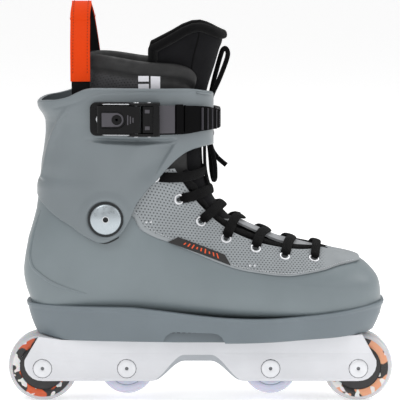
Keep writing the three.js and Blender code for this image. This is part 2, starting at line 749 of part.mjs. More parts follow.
// The screw that the cuff turns on, with its broad cap outside. The side is -1 or 1.
function pivotScrew(side) {
  const y = cuffHalfWidth + fit;
  const head = turned([
    [0, y - 8.5], [pivotShank, y - 8.5], [pivotShank, y], [pivotCapDiameter / 2, y],
    [pivotCapDiameter / 2, y + 1], [pivotCapDiameter / 2 - 1.5, y + pivotCapThickness],
    [0, y + pivotCapThickness],
  ], 20).subtract(hexSocket(pivotSocket / 2).translate(0, y + pivotCapThickness, 0));
  const screw = side > 0 ? head : head.mirror([0, 1, 0]);
  return screw.translate(pivotX, 0, pivotHeight);
}

function pivotNut(side) {
  const y = 41 - shellWall - 1.6;
  const nut = turned([[0, y - 2.4], [pivotNutRadius, y - 2.4], [pivotNutRadius, y - 0.8],
    [pivotShank - 0.4, y - 0.8], [pivotShank - 0.4, y + 3.6], [0, y + 3.6]], 16);
  const placed = side > 0 ? nut : nut.mirror([0, 1, 0]);
  return placed.translate(pivotX, 0, pivotHeight);
}

// ---- buckle -------------------------------------------------------------------------------------
const buckleFace = -cuffHalfWidth - fit;
const buckleLow = buckleHeight - buckleWidth / 2;
const buckleHigh = buckleHeight + buckleWidth / 2;
const leverPinY = buckleFace - 6.5;
const leverPinRadius = 1.6;

function buckleBase() {
  const back = buckleFace - buckleDepth;
  const plate = box(buckleRear, leverPinX, buckleFace - bucklePlate, buckleFace,
    buckleLow, buckleHigh);
  const rail = (low) =>
    box(leverPinX - 6, buckleFront, back, buckleFace, low, low + bucklePlate);
  const bridge = box(buckleFront - 4, buckleFront, back, back + 2.5, buckleLow, buckleHigh);
  const pinHole = post(leverPinX, leverPinY, leverPinRadius + fit, buckleLow - 5, buckleHigh + 5, 14);
  return plate.add(rail(buckleLow)).add(rail(buckleHigh - bucklePlate)).add(bridge).subtract(pinHole)
    .subtract(rod(buckleScrewX, buckleHeight, buckleScrewRadius + fit, -90, -40, 12));
}

const leverPin = () => post(leverPinX, leverPinY, leverPinRadius, buckleLow + fit, buckleHigh - fit, 14);

function buckleLever() {
  const low = buckleLow + bucklePlate + fit;
  const high = buckleHigh - bucklePlate - fit;
  const profile = [
    [leverPinX + 3.2, leverPinY + 1.5], [leverPinX + 3.2, leverPinY - 2.5],
    [leverPinX - 2, leverPinY - 4], [-78, leverPinY - 2.6], [-82.5, leverPinY + 0.5],
    [-81, leverPinY + 2], [-60, leverPinY + 1.4], [leverPinX - 2, leverPinY + 3],
  ];
  return planSlab(profile, low, high)
    .subtract(post(leverPinX, leverPinY, leverPinRadius + fit, low - 5, high + 5, 14));
}

function pawl() {
  const x = pawlX;
  const low = buckleLow + bucklePlate + fit;
  const high = buckleHigh - bucklePlate - fit;
  return planSlab([[x + 3.6, leverPinY - 1.5], [x - 5, leverPinY - 1.5], [x - 5, leverPinY + 0.5],
    [x - 3.6, leverPinY + 2], [x - 2.4, leverPinY + 0.6], [x + 3.6, leverPinY + 0.6]], low, high);
}

function buckleScrew() {
  const face = buckleFace - bucklePlate - fit;
  return rod(buckleScrewX, buckleHeight, buckleScrewHead, face - 1.4, face, 14)
    .add(rod(buckleScrewX, buckleHeight, buckleScrewRadius, face - 1, -cuffHalfWidth + cuffWall + 3, 12));
}

// A band round the front of the cuff, between two distances from it, from one angle to another.
function cuffBand(near, far, low, high, fromAngle, toAngle, steps) {
  const at = (a, out) => {
    const back = cuffBack(buckleHeight) - out;
    const front = cuffFront + out;
    const middle = (back + front) / 2;
    const e = Math.cos(a) > 0 ? cuffEnds[0] : cuffEnds[1];
    return [middle + ((front - back) / 2) * power(Math.cos(a), e),
      (cuffHalfWidth + out) * power(Math.sin(a), cuffEnds[2])];
  };
  const angles = Array.from({ length: steps + 1 }, (_, i) => lerp(fromAngle, toAngle, i / steps));
  return planSlab([...angles.map((a) => at(a, far)), ...angles.reverse().map((a) => at(a, near))],
    low, high);
}

function strap() {
  return cuffBand(strapGap, strapGap + strapThickness, buckleHeight - strapWidth / 2,
    buckleHeight + strapWidth / 2, strapStart, strapEnd, 26);
}

function strapSleeve() {
  const near = strapGap + strapThickness + fit;
  return cuffBand(near, near + sleeveThickness, buckleHeight - sleeveWidth / 2,
    buckleHeight + sleeveWidth / 2, sleeveStart, sleeveEnd, 8);
}

// ---- laces, badge and pull loop ---------------------------------------------------------------------
// Places of the eyelets along the boot's form, from the toe, and their angle round it.
const eyeletPlaces = [-0.35, -0.21, -0.08, 0.1, 0.36, 0.58];
const eyeletAngles = [0.62, 0.66, 0.68, 0.68, 0.66, 0.64];

// One strand of the lacing crosses from side to side, eyelet by eyelet.
function laceStrand(firstSide) {
  const inset = -skinThickness - 2 * fit - laceThickness * 0.9;
  const points = [];
  eyeletPlaces.forEach((place, i) => {
    const side = firstSide * (i % 2 ? -1 : 1);
    points.push(onForm(place, side * eyeletAngles[i], inset));
    if (i + 1 < eyeletPlaces.length) {
      const half = (place + eyeletPlaces[i + 1]) / 2;
      points.push(onForm(half, 0.001, inset - lerp(1, 7.5, smoothstep(i, 1, 4))));
    }
  });
  return swept(points.map((p) => p.toArray()), laceThickness, 30);
}

const laces = () => laceStrand(1).add(laceStrand(-1));

const upperLoop = [
  [8, -5, 196], [10.4, -5.5, 203], [14.6, -6, 212], [19, -6, 223], [21.8, -5, 231],
  [22.4, -3, 235.6], [20.6, 0, 238.6], [18.2, 3, 237], [16.2, 5.5, 231], [13.4, 6, 221],
  [10.8, 6, 211], [8.5, 6, 200],
];
const lowerLoop = [
  [6, -5, 168], [7.5, -5.5, 161], [10.2, -6, 152], [11.9, -6, 143], [12.2, -5, 134],
  [11.9, -2.5, 131.4], [11.2, 1, 130], [10.2, 4.5, 132], [9.2, 6, 138], [8.4, 6, 148],
  [7.4, 6, 158], [6, 5.5, 167],
];
const laceEnd = [
  [6.4, 0.5, 173], [7.6, 0.5, 163], [9.8, 0.5, 155], [13.4, 0.5, 149.4], [17.6, 0, 145.4],
  [21.4, -0.5, 142.4],
];
const laceTube = (points) => swept(points, laceLoopWidth, 18);

function badge() {
  const near = -skinThickness - 2 * fit;
  return bootForm({ inset: near - 0.8, top: 160 }).subtract(bootForm({ inset: near, top: 161 }))
    .intersect(sideSlab([[-26.2, 84.5], [-17.8, 88.4], [19.9, 74.2], [24.6, 66.2]], -90, 0));
}

// A flat strap bent into a loop over the back of the liner.
function pullLoop() {
  const foot = 32.5;
  const bend = 20;
  const line = (out) => {
    const over = arc(0, loopTop - bend, bend + out, 168, 12, 8);
    const leg = [[foot + out, 200], [foot + out - 0.6, 224], [foot + out - 4, 244]];
    return [...leg.map(([y, z]) => [-y, z]), ...over, ...leg.reverse()];
  };
  return crossSlab([...line(0), ...line(-loopThickness).reverse()],
    loopX - loopWidth / 2, loopX + loopWidth / 2);
}

// ---- assembly -------------------------------------------------------------------------------
const skate = new THREE.Group();
const boot = new THREE.Group();
boot.position.z = sole;
skate.add(boot);

function put(parent, name, body, look, position = [0, 0, 0]) {
  const [color, roughness, metalness] = looks[look];
  const material = new THREE.MeshStandardMaterial({ color, roughness, metalness });
  const mesh = new THREE.Mesh(geometryOf(body), material);
  mesh.name = name;
  mesh.position.set(...position);
  parent.add(mesh);
}

put(skate, 'frame', frame(), 'frame');
for (const [place, x, diameter] of axles) {
  const at = [x, 0, axleHeight];
  const seat = wheelWidth / 2 - bearingWidth / 2;
  put(skate, `${place}_tyre`, tyre(diameter), diameter > 50 ? 'urethane' : 'milk', at);
  put(skate, `${place}_hub`, hub(diameter), diameter > 50 ? 'hub' : 'milk', at);
  put(skate, `${place}_bearing_outer`, bearing(), 'steel', [x, -seat, axleHeight]);
  put(skate, `${place}_bearing_inner`, bearing(), 'steel', [x, seat, axleHeight]);
  put(skate, `${place}_bearing_spacer`, bearingSpacer(), 'steel', at);
  put(skate, `${place}_axle_screw`, axleScrew(), 'white', at);
  put(skate, `${place}_axle_nut`, axleNut(), 'white', at);
}
put(boot, 'sole_plate', solePlate(), 'sole');
put(boot, 'boot_shell', bootShell(), 'shell');
put(boot, 'skin', skin(), 'skin');
put(boot, 'liner_lower', linerLower(), 'lining');
put(boot, 'liner_upper', linerUpper(), 'lining');
put(boot, 'footbed', footbed(), 'foam');
put(boot, 'heel_pad', heelPad(), 'foam');
put(boot, 'tongue', tongueForm(), 'lining');
put(boot, 'cuff', cuff(), 'cuff');
for (const [place, side] of [['outer', -1], ['inner', 1]]) {
  put(boot, `pivot_screw_${place}`, pivotScrew(side), 'shell');
  put(boot, `pivot_nut_${place}`, pivotNut(side), 'steel');
}
put(boot, 'buckle_base', buckleBase(), 'buckle');
put(boot, 'buckle_lever', buckleLever(), 'buckle');
put(boot, 'lever_pin', leverPin(), 'steel');
put(boot, 'pawl', pawl(), 'buckle');
put(boot, 'buckle_screw', buckleScrew(), 'steel');
put(boot, 'strap', strap(), 'strap');
put(boot, 'strap_sleeve', strapSleeve(), 'strap');
put(boot, 'pull_loop', pullLoop(), 'orange');
put(boot, 'laces', laces(), 'lace');
put(boot, 'lace_loop_upper', laceTube(upperLoop), 'lace');
put(boot, 'lace_loop_lower', laceTube(lowerLoop), 'lace');
put(boot, 'lace_end', laceTube(laceEnd), 'lace');
put(boot, 'badge', badge(), 'badge');
for (const [place, side] of [['rear', -1], ['front', 1]]) {
  put(boot, `${place}_mount_bolt`, mountBolt((side * mountBoltSpacing) / 2), 'steel');
  put(boot, `${place}_mount_nut`, mountNut((side * mountBoltSpacing) / 2), 'steel');
}

export default skate;
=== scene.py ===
import math

import bmesh
import bpy
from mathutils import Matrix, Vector
from mathutils.bvhtree import BVHTree


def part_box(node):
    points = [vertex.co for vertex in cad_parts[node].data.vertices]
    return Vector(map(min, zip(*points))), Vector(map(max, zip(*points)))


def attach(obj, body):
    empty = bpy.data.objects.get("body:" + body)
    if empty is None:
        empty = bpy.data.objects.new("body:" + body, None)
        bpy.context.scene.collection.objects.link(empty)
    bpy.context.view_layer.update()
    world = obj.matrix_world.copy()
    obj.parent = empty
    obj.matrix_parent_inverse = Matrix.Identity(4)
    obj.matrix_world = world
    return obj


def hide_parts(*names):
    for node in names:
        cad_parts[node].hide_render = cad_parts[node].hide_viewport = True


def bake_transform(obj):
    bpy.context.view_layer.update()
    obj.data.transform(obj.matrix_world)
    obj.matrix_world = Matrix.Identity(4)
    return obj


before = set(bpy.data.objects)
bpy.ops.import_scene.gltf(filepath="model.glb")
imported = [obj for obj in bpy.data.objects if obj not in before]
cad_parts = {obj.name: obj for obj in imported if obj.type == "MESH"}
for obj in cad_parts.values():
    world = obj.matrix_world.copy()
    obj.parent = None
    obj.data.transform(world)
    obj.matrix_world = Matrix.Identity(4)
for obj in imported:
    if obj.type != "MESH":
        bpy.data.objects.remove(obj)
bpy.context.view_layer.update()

MM = 0.001
OUTER = -1  # the side of the buckle, at -Y
INNER = 1
SIDES = ((OUTER, "outer"), (INNER, "inner"))


# ---- places taken from the frame, in millimetres ----
def low(node):
    return [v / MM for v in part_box(node)[0]]


def high(node):
    return [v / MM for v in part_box(node)[1]]


def middle(node):
    return [(a + b) / 2 for a, b in zip(low(node), high(node))]


def span(node, axis):
    """Where a node starts and ends along an axis."""
    return low(node)[axis], high(node)[axis]


SOLE = low("sole_plate")[2]
PIVOT_X, _, PIVOT_Z = middle("pivot_screw_outer")
PIVOT_H = PIVOT_Z - SOLE
CUFF_HALF = high("pivot_screw_inner")[1] - 2.5
BUCKLE_Z = middle("buckle_base")[2]
BUCKLE_H = BUCKLE_Z - SOLE
BUCKLE_FACE = high("buckle_base")[1]
FRAME_FOOT = low("frame")[2]
FRAME_HALF = -low("rear_axle_screw")[1]
WHEELS = ["rear", "rear_inner", "front_inner", "front"]


# ---- numbers ----
def clamp(v, a=0.0, b=1.0):
    return max(a, min(b, v))


def mix(a, b, t):
    return a + (b - a) * t


def smooth(v, a, b):
    t = clamp((v - a) / (b - a))
    return t * t * (3 - 2 * t)


def power(v, e):
    return math.copysign(abs(v) ** e, v)


def steps(a, b, count):
    return [mix(a, b, i / count) for i in range(count + 1)]


def curve(pairs):
    """A smooth value against a position, through a few (position, value) pairs."""
    last = len(pairs) - 1
    slope = []
    for i in range(last + 1):
        a, b = pairs[max(i - 1, 0)], pairs[min(i + 1, last)]
        slope.append((b[1] - a[1]) / (b[0] - a[0]))

    def at(v):
        if v <= pairs[0][0]:
            return pairs[0][1]
        if v >= pairs[last][0]:
            return pairs[last][1]
        i = next(k for k, p in enumerate(pairs) if p[0] > v) - 1
        span = pairs[i + 1][0] - pairs[i][0]
        t = (v - pairs[i][0]) / span
        rise = (pairs[i + 1][1] - pairs[i][1]) * t * t * (3 - 2 * t)
        return pairs[i][1] + rise + span * (slope[i] * t * (1 - t) ** 2 - slope[i + 1] * t * t * (1 - t))

    return at


def line_through(points, count):
    """A smooth line through a few points, as more points."""
    points = [Vector(p) for p in points]
    result = []
    for k in range(count + 1):
        t = k / count * (len(points) - 1)
        i = min(int(t), len(points) - 2)
        u = t - i
        p1, p2 = points[i], points[i + 1]
        p0 = points[i - 1] if i else p1 * 2 - p2
        p3 = points[i + 2] if i + 2 < len(points) else p2 * 2 - p1
        result.append(0.5 * (2 * p1 + (p2 - p0) * u + (2 * p0 - 5 * p1 + 4 * p2 - p3) * u * u
                             + (3 * p1 - p0 - 3 * p2 + p3) * u ** 3))
    return result


def near_line(x, h, points):
    """The distance from a point to a line of points, and how far along it that is, 0 to 1."""
    best, where = 1e9, 0
    for i in range(len(points) - 1):
        (ax, ah), (bx, bh) = points[i], points[i + 1]
        length = (bx - ax) ** 2 + (bh - ah) ** 2
        t = clamp(((x - ax) * (bx - ax) + (h - ah) * (bh - ah)) / length)
        d = math.hypot(x - mix(ax, bx, t), h - mix(ah, bh, t))
        if d < best:
            best, where = d, (i + t) / (len(points) - 1)
    return best, where


# ---- the boot's form, as the CAD lofts it; h is the height above the sole plate's underside ----
ANKLE = 146
THROAT_X = 30
TOE_END = 149.6
BOOT_FLOOR = 18
TOE_SHIFT = 7
SHELL_WALL = 3.4
SHELL_TOP = 170
SKIN_OUT = -1.8
inside_line = curve([
    (30, 98), (40, 93), (50, 88.5), (62, 83), (78, 78.5), (95, 74), (110, 70), (122, 67.5),
    (130, 65), (137, 60.5), (143, 54.5), (148, 47), (150, 38)])
heel_line = curve([
    (10, -139), (30, -141), (44, -144.8), (56, -146.3), (70, -144.6), (80, -142.8), (90, -140.2),
    (100, -136.8), (110, -134.7), (122, -132.8), (136, -127), (155, -120.5), (180, -112),
    (196, -106), (240, -101)])
front_line = curve([(120, 6), (146, 2), (176, 2), (206, 6), (232, 12), (262, 17)])
foot_width = curve([(-147, 36), (-110, 38.5), (-60, 39), (-20, 41), (25, 47), (62, 51), (95, 50.5),
                    (150, 47)])
ankle_width = curve([(-147, 40), (-76, 42), (-30, 41), (10, 36), (60, 30)])
CROWN, FLAT, ROUND = (0.95, 0.85), (0.36, 0.42), (0.92, 0.9)


def half_width(x, h):
    toe = clamp((x - 88) / 62.5)
    return mix(foot_width(x), ankle_width(x), smooth(h, 48, 100)) * (1 - toe ** 2.5) ** 0.5


def side_shift(x):
    return TOE_SHIFT * smooth(x, 10, 130)


def section(place, inset):
    """The plane at a place: centre x and h, direction, near and far ends, end exponents."""
    if place <= 0:
        x = THROAT_X + (TOE_END - inset - THROAT_X) * math.sin(-place * math.pi / 2)
        return x, ANKLE, 0, -1, ANKLE - inside_line(x), ANKLE - BOOT_FLOOR, (CROWN, FLAT)
    if place > 1:
        h = ANKLE + (place - 1) * 100
        return THROAT_X, h, -1, 0, THROAT_X - front_line(h), THROAT_X - heel_line(h), (ROUND, ROUND)
    dx = -math.sin(place * math.pi / 2)
    dz = -math.cos(place * math.pi / 2)
    floor = (ANKLE - BOOT_FLOOR) / max(-dz, 1e-3)
    heel = 170.0
    for _ in range(8):
        heel = (THROAT_X - heel_line(ANKLE + dz * heel)) / max(-dx, 1e-3)
    far = (floor ** -22 + heel ** -22) ** (-1 / 22)
    near = mix(ANKLE - inside_line(THROAT_X), THROAT_X - front_line(ANKLE), smooth(place, 0, 1))
    ends = [tuple(mix(a, b, place) for a, b in zip(u, ROUND)) for u in (CROWN, FLAT)]
    return THROAT_X, ANKLE, dx, dz, near, far, ends


def on_form(place, angle, inset):
    """A point of the form: angle 0 is the middle of the instep side and pi of the sole side."""
    cx, cz, dx, dz, near, far, ends = section(place, inset)
    c = math.cos(angle)
    across, round_side = ends[0] if c > 0 else ends[1]
    reach = max((far - near) / 2 - inset, 0.4)
    r = (near + far) / 2 - reach * power(c, across)
    x, h = cx + dx * r, cz + dz * r
    w = max(half_width(x, h) - inset, 0.4)
    return Vector((x, side_shift(x) + w * power(math.sin(angle), round_side), SOLE + h))


def form_rings(inset, top, count=100):
    places = steps(-1, -0.7, 8)[:-1] + steps(-0.7, 0, 12)[:-1] + steps(0, 0.42, 8)[:-1]
    places += steps(0.42, 0.74, 18)[:-1] + steps(0.74, 1, 7)
    places += [1 + t * (top - ANKLE) / 100 for t in (0.25, 0.5, 0.75, 1)]
    angles = [(i + 0.5) / count * 2 * math.pi for i in range(count)]
    return [[on_form(p, a, inset) for a in angles] for p in places]


# ---- meshes ----
def loft(rings, closed=False, caps=True):
    """Points and faces of a skin over rings of points."""
    n = len(rings[0])
    points = [p for ring in rings for p in ring]
    faces = []
    last = len(rings) if closed else len(rings) - 1
    for i in range(last):
        a, b = i * n, ((i + 1) % len(rings)) * n
        for j in range(n):
            k = (j + 1) % n
            faces.append((a + j, a + k, b + k, b + j))
    if caps and not closed:
        faces.append(tuple(range(n))[::-1])
        faces.append(tuple((len(rings) - 1) * n + j for j in range(n)))
    return points, faces


def panel(outer, inner):
    """A closed slab between two grids of points."""
    rows, columns = len(outer), len(outer[0])
    points = [p for row in outer for p in row] + [p for row in inner for p in row]
    back = rows * columns
    faces = []
    for i in range(rows - 1):
        for j in range(columns - 1):
            a = i * columns + j
            quad = (a, a + 1, a + columns + 1, a + columns)
            faces.append(quad)
            faces.append(tuple(v + back for v in quad[::-1]))
    edge = list(range(columns))
    edge += [i * columns + columns - 1 for i in range(1, rows)]
    edge += [(rows - 1) * columns + j for j in range(columns - 2, -1, -1)]
    edge += [i * columns for i in range(rows - 2, 0, -1)]
    for a, b in zip(edge, edge[1:] + edge[:1]):
        faces.append((b, a, a + back, b + back))
    return points, faces


def joined(parts):
    """Several (points, faces) as one."""
    points, faces = [], []
    for more, shapes in parts:
        faces += [tuple(v + len(points) for v in face) for face in shapes]
        points += list(more)
    return points, faces


def prism(outline, place, a, b):
    """An outline pushed from a to b: place(u, v, w) gives the point."""
    rings = [[Vector(place(u, v, w)) for u, v in outline] for w in (a, b)]
    return loft(rings)


def side_prism(outline, y0, y1):
    return prism(outline, lambda u, v, w: (u, w, v), y0, y1)


def plan_prism(outline, z0, z1):
    return prism(outline, lambda u, v, w: (u, v, w), z0, z1)


def block(x0, x1, y0, y1, z0, z1):
    return side_prism([(x0, z0), (x1, z0), (x1, z1), (x0, z1)], y0, y1)


def rounded(x0, x1, z0, z1, radius, count=6):
    """A rectangle's outline with round corners."""
    outline = []
    for cx, cz, start in ((x1 - radius, z0 + radius, -90), (x1 - radius, z1 - radius, 0),
                          (x0 + radius, z1 - radius, 90), (x0 + radius, z0 + radius, 180)):
        for i in range(count + 1):
            a = math.radians(start + 90 * i / count)
            outline.append((cx + radius * math.cos(a), cz + radius * math.sin(a)))
    return outline


def turned(profile, centre, sides=64, axis="Y"):
    """A solid of revolution from (radius, along) points that close on themselves."""
    rings = []
    for i in range(sides):
        a = 2 * math.pi * i / sides
        if axis == "Y":
            rings.append([Vector((centre[0] + r * math.cos(a), centre[1] + y,
                                  centre[2] + r * math.sin(a))) for r, y in profile])
        else:
            rings.append([Vector((centre[0] + r * math.cos(a), centre[1] + r * math.sin(a),
                                  centre[2] + y)) for r, y in profile])
    return loft(rings, closed=True)


def turned_out(profile, side, centre, sides):
    """A turned solid whose (radius, along) points are given outwards from a side's face."""
    return turned([(r, side * v) for r, v in profile], centre, sides)


def hexagon(x, z, radius):
    return [(x + radius * math.cos(a), z + radius * math.sin(a))
            for a in steps(0, 2 * math.pi, 6)[:-1]]


def tube(path, wide, thick, normals=None, sides=12, taper=0.0):
    """A flat or round bar along a path. Its thickness lies along the normals."""
    rings = []
    last = len(path) - 1
    for i, p in enumerate(path):
        along = (path[min(i + 1, last)] - path[max(i - 1, 0)]).normalized()
        normal = normals[i] if normals else Vector((0, 0, 1))
        across = along.cross(normal)
        across = across.normalized() if across.length > 1e-6 else Vector((0, 1, 0))
        up = across.cross(along).normalized()
        size = 1.0
        if taper:
            end = min(i, last - i) / last
            size = math.sqrt(clamp(1 - (1 - clamp(end / taper)) ** 2, 0.02))
        ring = []
        for k in range(sides):
            a = 2 * math.pi * (k + 0.5) / sides
            ring.append(p + across * (wide / 2 * power(math.cos(a), 0.8) * size)
                        + up * (thick / 2 * power(math.sin(a), 0.8) * max(size, 0.4)))
        rings.append(ring)
    return loft(rings)


def in_scene(name, data):
    """A new object in the scene."""
    thing = bpy.data.objects.new(name, data)
    bpy.context.scene.collection.objects.link(thing)
    return thing


def soften(piece, width, segments=2, angle=40):
    """Rounds a piece's sharp edges by a width in millimetres."""
    edge = piece.modifiers.new("edge", "BEVEL")
    edge.width = width * MM
    edge.segments = segments
    edge.limit_method = "ANGLE"
    edge.angle_limit = math.radians(angle)


def shade(piece, angle=38):
    piece.data.shade_smooth()
    piece.data.set_sharp_from_angle(angle=math.radians(angle))


def build(name, shape, look, body="root", angle=38, bevel=0.0):
    """A piece from points and faces in millimetres, closed, smooth up to an angle, and riding."""
    points, faces = shape
    mesh = bpy.data.meshes.new(name)
    mesh.from_pydata([tuple(c * MM for c in p) for p in points], [], faces)
    work = bmesh.new()
    work.from_mesh(mesh)
    bmesh.ops.remove_doubles(work, verts=work.verts, dist=2e-6)
    bmesh.ops.recalc_face_normals(work, faces=work.faces)
    work.to_mesh(mesh)
    work.free()
    mesh.materials.append(look)
    piece = in_scene(name, mesh)
    if bevel:
        soften(piece, bevel, 3, 35)
    shade(piece, angle)
    if body:
        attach(piece, body)
    return piece


def carve(piece, shape):
    """Cuts a closed shape, in millimetres, out of a piece."""
    tool = build("cutter", shape, piece.data.materials[0])
    cut = piece.modifiers.new("cut", "BOOLEAN")
    cut.object = tool
    cut.operation = "DIFFERENCE"
    cut.solver = "EXACT"
    bpy.context.view_layer.update()
    mesh = bpy.data.meshes.new_from_object(
        piece.evaluated_get(bpy.context.evaluated_depsgraph_get()))
    piece.modifiers.clear()
    piece.data = mesh
    bpy.data.objects.remove(tool)
    shade(piece)


def paint_zone(piece, rows, values, elsewhere):
    """Keeps a value at each vertex for the material: 1 where the leather has its holes."""
    spots = [p for row in rows for p in row]
    finder = {tuple(round(c, 2) for c in p): v for p, v in zip(spots, values)}
    layer = piece.data.attributes.new("zone", "FLOAT", "POINT")
    for vertex, value in zip(piece.data.vertices, layer.data):
        value.value = finder.get(tuple(round(c / MM, 2) for c in vertex.co), elsewhere)


def tree(shape):
    points, faces = shape
    return BVHTree.FromPolygons([tuple(p) for p in points], faces)


def touch(surface, x, h, side):
    """The place on a side of a surface at x and height h, and the normal there, pointing out."""
    start = Vector((x, side * 200, SOLE + h))
    place, normal, _, _ = surface.ray_cast(start, Vector((0, -side, 0)))
    if place is None:
        place, normal, _, _ = surface.find_nearest(Vector((x, side * 40, SOLE + h)))
    if normal.y * side < 0:
        normal = -normal
    return place, normal


def laid(surface, spots, out):
    """A grid of (x, h) spots laid on the outer side of a surface, at a distance from it."""
    rows = []
    for line in spots:
        row = []
        for x, h in line:
            place, normal = touch(surface, x, h, OUTER)
            row.append(place + normal * out)
        rows.append(row)
    return rows


# ---- materials ----
def rgb(r, g, b):
    """Screen colours 0 to 255 as the shader's linear ones."""
    def one(v):
        v /= 255
        return v / 12.92 if v <= 0.04045 else ((v + 0.055) / 1.055) ** 2.4
    return one(r), one(g), one(b), 1.0


class Look:
    """A material and short ways to add nodes to it."""

    def __init__(self, name, colour, roughness, metallic=0.0, **sockets):
        self.material = bpy.data.materials.new(name)
        self.material.use_nodes = True
        self.nodes = self.material.node_tree.nodes
        self.links = self.material.node_tree.links
        self.shader = self.nodes["Principled BSDF"]
        self.set("Base Color", colour)
        self.set("Roughness", roughness)
        self.set("Metallic", metallic)
        for key, value in sockets.items():
            self.set(key.replace("_", " "), value)
        self.place = self.nodes.new("ShaderNodeTexCoord").outputs["Object"]

    def put(self, socket, value):
        """Links a value that comes from a node, or sets a plain one."""
        if isinstance(value, bpy.types.NodeSocket):
            self.links.new(value, socket)
        else:
            socket.default_value = value

    def set(self, socket, value):
        self.put(self.shader.inputs[socket], value)

    def node(self, kind, values=None, **settings):
        node = self.nodes.new("ShaderNode" + kind)
        for key, value in settings.items():
            setattr(node, key, value)
        for key, value in (values or {}).items():
            self.put(node.inputs[key], value)
        return node

    def math(self, operation, a, b=0.0, c=None):
        values = {0: a, 1: b}
        if c is not None:
            values[2] = c
        return self.node("Math", values, operation=operation).outputs[0]

    def noise(self, scale, detail=3.0, place=None):
        values = {"Vector": place or self.place, "Scale": scale, "Detail": detail}
        return self.node("TexNoise", values).outputs["Fac"]

    def ramp(self, value, start, end, low_value=0.0, high_value=1.0):
        values = {"Value": value, 1: start, 2: end, 3: low_value, 4: high_value}
        return self.node("MapRange", values).outputs[0]

    def blend(self, factor, a, b):
        node = self.node("Mix", data_type="RGBA")
        for socket, value in ((0, factor), (6, a), (7, b)):
            self.put(node.inputs[socket], value)
        return node.outputs[2]

    def stretched(self, x, y, z):
        values = {0: self.place, 1: (x, y, z)}
        return self.node("VectorMath", values, operation="MULTIPLY").outputs[0]

    def bump(self, height, strength, distance=0.001):
        values = {"Height": height, "Strength": strength, "Distance": distance}
        self.set("Normal", self.node("Bump", values).outputs[0])


def scaled(colour, factor):
    return tuple(clamp(c * factor) for c in colour[:3]) + (1.0,)


def plastic(name, colour, roughness=0.42, grain=0.06, **sockets):
    look = Look(name, colour, roughness, **sockets)
    patch = look.ramp(look.noise(24, 4), 0.3, 0.7)
    look.set("Base Color", look.blend(patch, scaled(colour, 0.95), scaled(colour, 1.05)))
    worn = look.ramp(look.noise(60, 5), 0.25, 0.75, roughness - 0.05, roughness + 0.07)
    look.set("Roughness", worn)
    look.bump(look.noise(1800, 2), grain, 0.0004)
    return look.material


def metal(name, colour, roughness=0.28):
    look = Look(name, colour, roughness, 1.0)
    lines = look.noise(1.0, 6, look.stretched(300, 4000, 300))
    look.set("Roughness", look.ramp(lines, 0.3, 0.7, roughness - 0.08, roughness + 0.12))
    look.bump(lines, 0.05, 0.0003)
    return look.material


def cloth(name, colour, pitch=0.9, depth=0.5, **sockets):
    """Plain weave: two sets of threads, a little uneven."""
    look = Look(name, colour, 0.92, **{"Sheen_Weight": 0.06, "Sheen_Roughness": 0.5, **sockets})
    scale = 1 / (pitch * MM)
    waves = []
    for direction in ((1, 0.15, 0.0), (0.0, 0.15, 1)):
        place = look.stretched(*(d * scale for d in direction))
        split = look.node("SeparateXYZ", {0: place})
        total = look.math("ADD", split.outputs[0], split.outputs[1])
        total = look.math("ADD", total, split.outputs[2])
        waves.append(look.math("SINE", look.math("MULTIPLY", total, 2 * math.pi)))
    weave = look.math("MAXIMUM", waves[0], look.math("MULTIPLY", waves[1], -1.0))
    shade_of = look.ramp(weave, -1, 1, 0, 1)
    uneven = look.ramp(look.noise(70, 4), 0.25, 0.75, 0.8, 1.25)
    dark = look.blend(shade_of, scaled(colour, 0.62), scaled(colour, 1.2))
    tint = look.node("VectorMath", {0: dark, 3: uneven}, operation="SCALE").outputs[0]
    look.set("Base Color", tint)
    look.bump(look.math("ADD", weave, look.noise(900, 3)), depth, 0.0004)
    return look.material


def holes(look, pitch, radius):
    """A field of round holes in offset rows on the side view: 1 in a hole and 0 outside.

    The rows climb with the distance from the middle plane, so that they run on over the instep.
    """
    split = look.node("SeparateXYZ", {0: look.place})
    drop = look.math("MULTIPLY", look.math("ABSOLUTE", split.outputs[1]), -0.6)
    up = look.math("ADD", split.outputs[2], drop)
    tall = pitch * 1.732  # two rows of a triangular pattern
    near = None
    for offset in (0.0, 0.5):
        squares = []
        for value, size in ((split.outputs[0], pitch), (up, tall)):
            cell = look.math("ADD", look.math("DIVIDE", value, size * MM), offset)
            off = look.math("SUBTRACT", look.math("FRACT", cell), 0.5)
            off = look.math("MULTIPLY", off, size)
            squares.append(look.math("MULTIPLY", off, off))
        d = look.math("SQRT", look.math("ADD", *squares))
        near = d if near is None else look.math("MINIMUM", near, d)
    return look.ramp(near, radius * 0.75, radius * 1.25, 1.0, 0.0)


def leather(name, colour, pitch, radius, hole_shade_colour, zone=None, zone_colour=None):
    look = Look(name, colour, 0.62)
    dots = holes(look, pitch, radius)
    if zone:
        part = look.node("Attribute", attribute_name=zone).outputs["Fac"]
        dots = look.math("MULTIPLY", dots, part)
    grain = look.node("TexVoronoi", {"Vector": look.place, "Scale": 900}).outputs["Distance"]
    patch = look.ramp(look.noise(40, 4), 0.3, 0.7)
    base = look.blend(patch, scaled(colour, 0.93), scaled(colour, 1.06))
    if zone_colour:
        base = look.blend(part, base, zone_colour)
    # painted shade: the holes take a darker colour for the shade inside them
    look.set("Base Color", look.blend(dots, base, hole_shade_colour))
    look.set("Roughness", look.ramp(look.noise(150, 4), 0.3, 0.7, 0.52, 0.72))
    height = look.math("ADD", look.math("MULTIPLY", grain, 0.25), look.math("MULTIPLY", dots, -1.0))
    look.bump(height, 0.5, 0.0006)
    return look.material


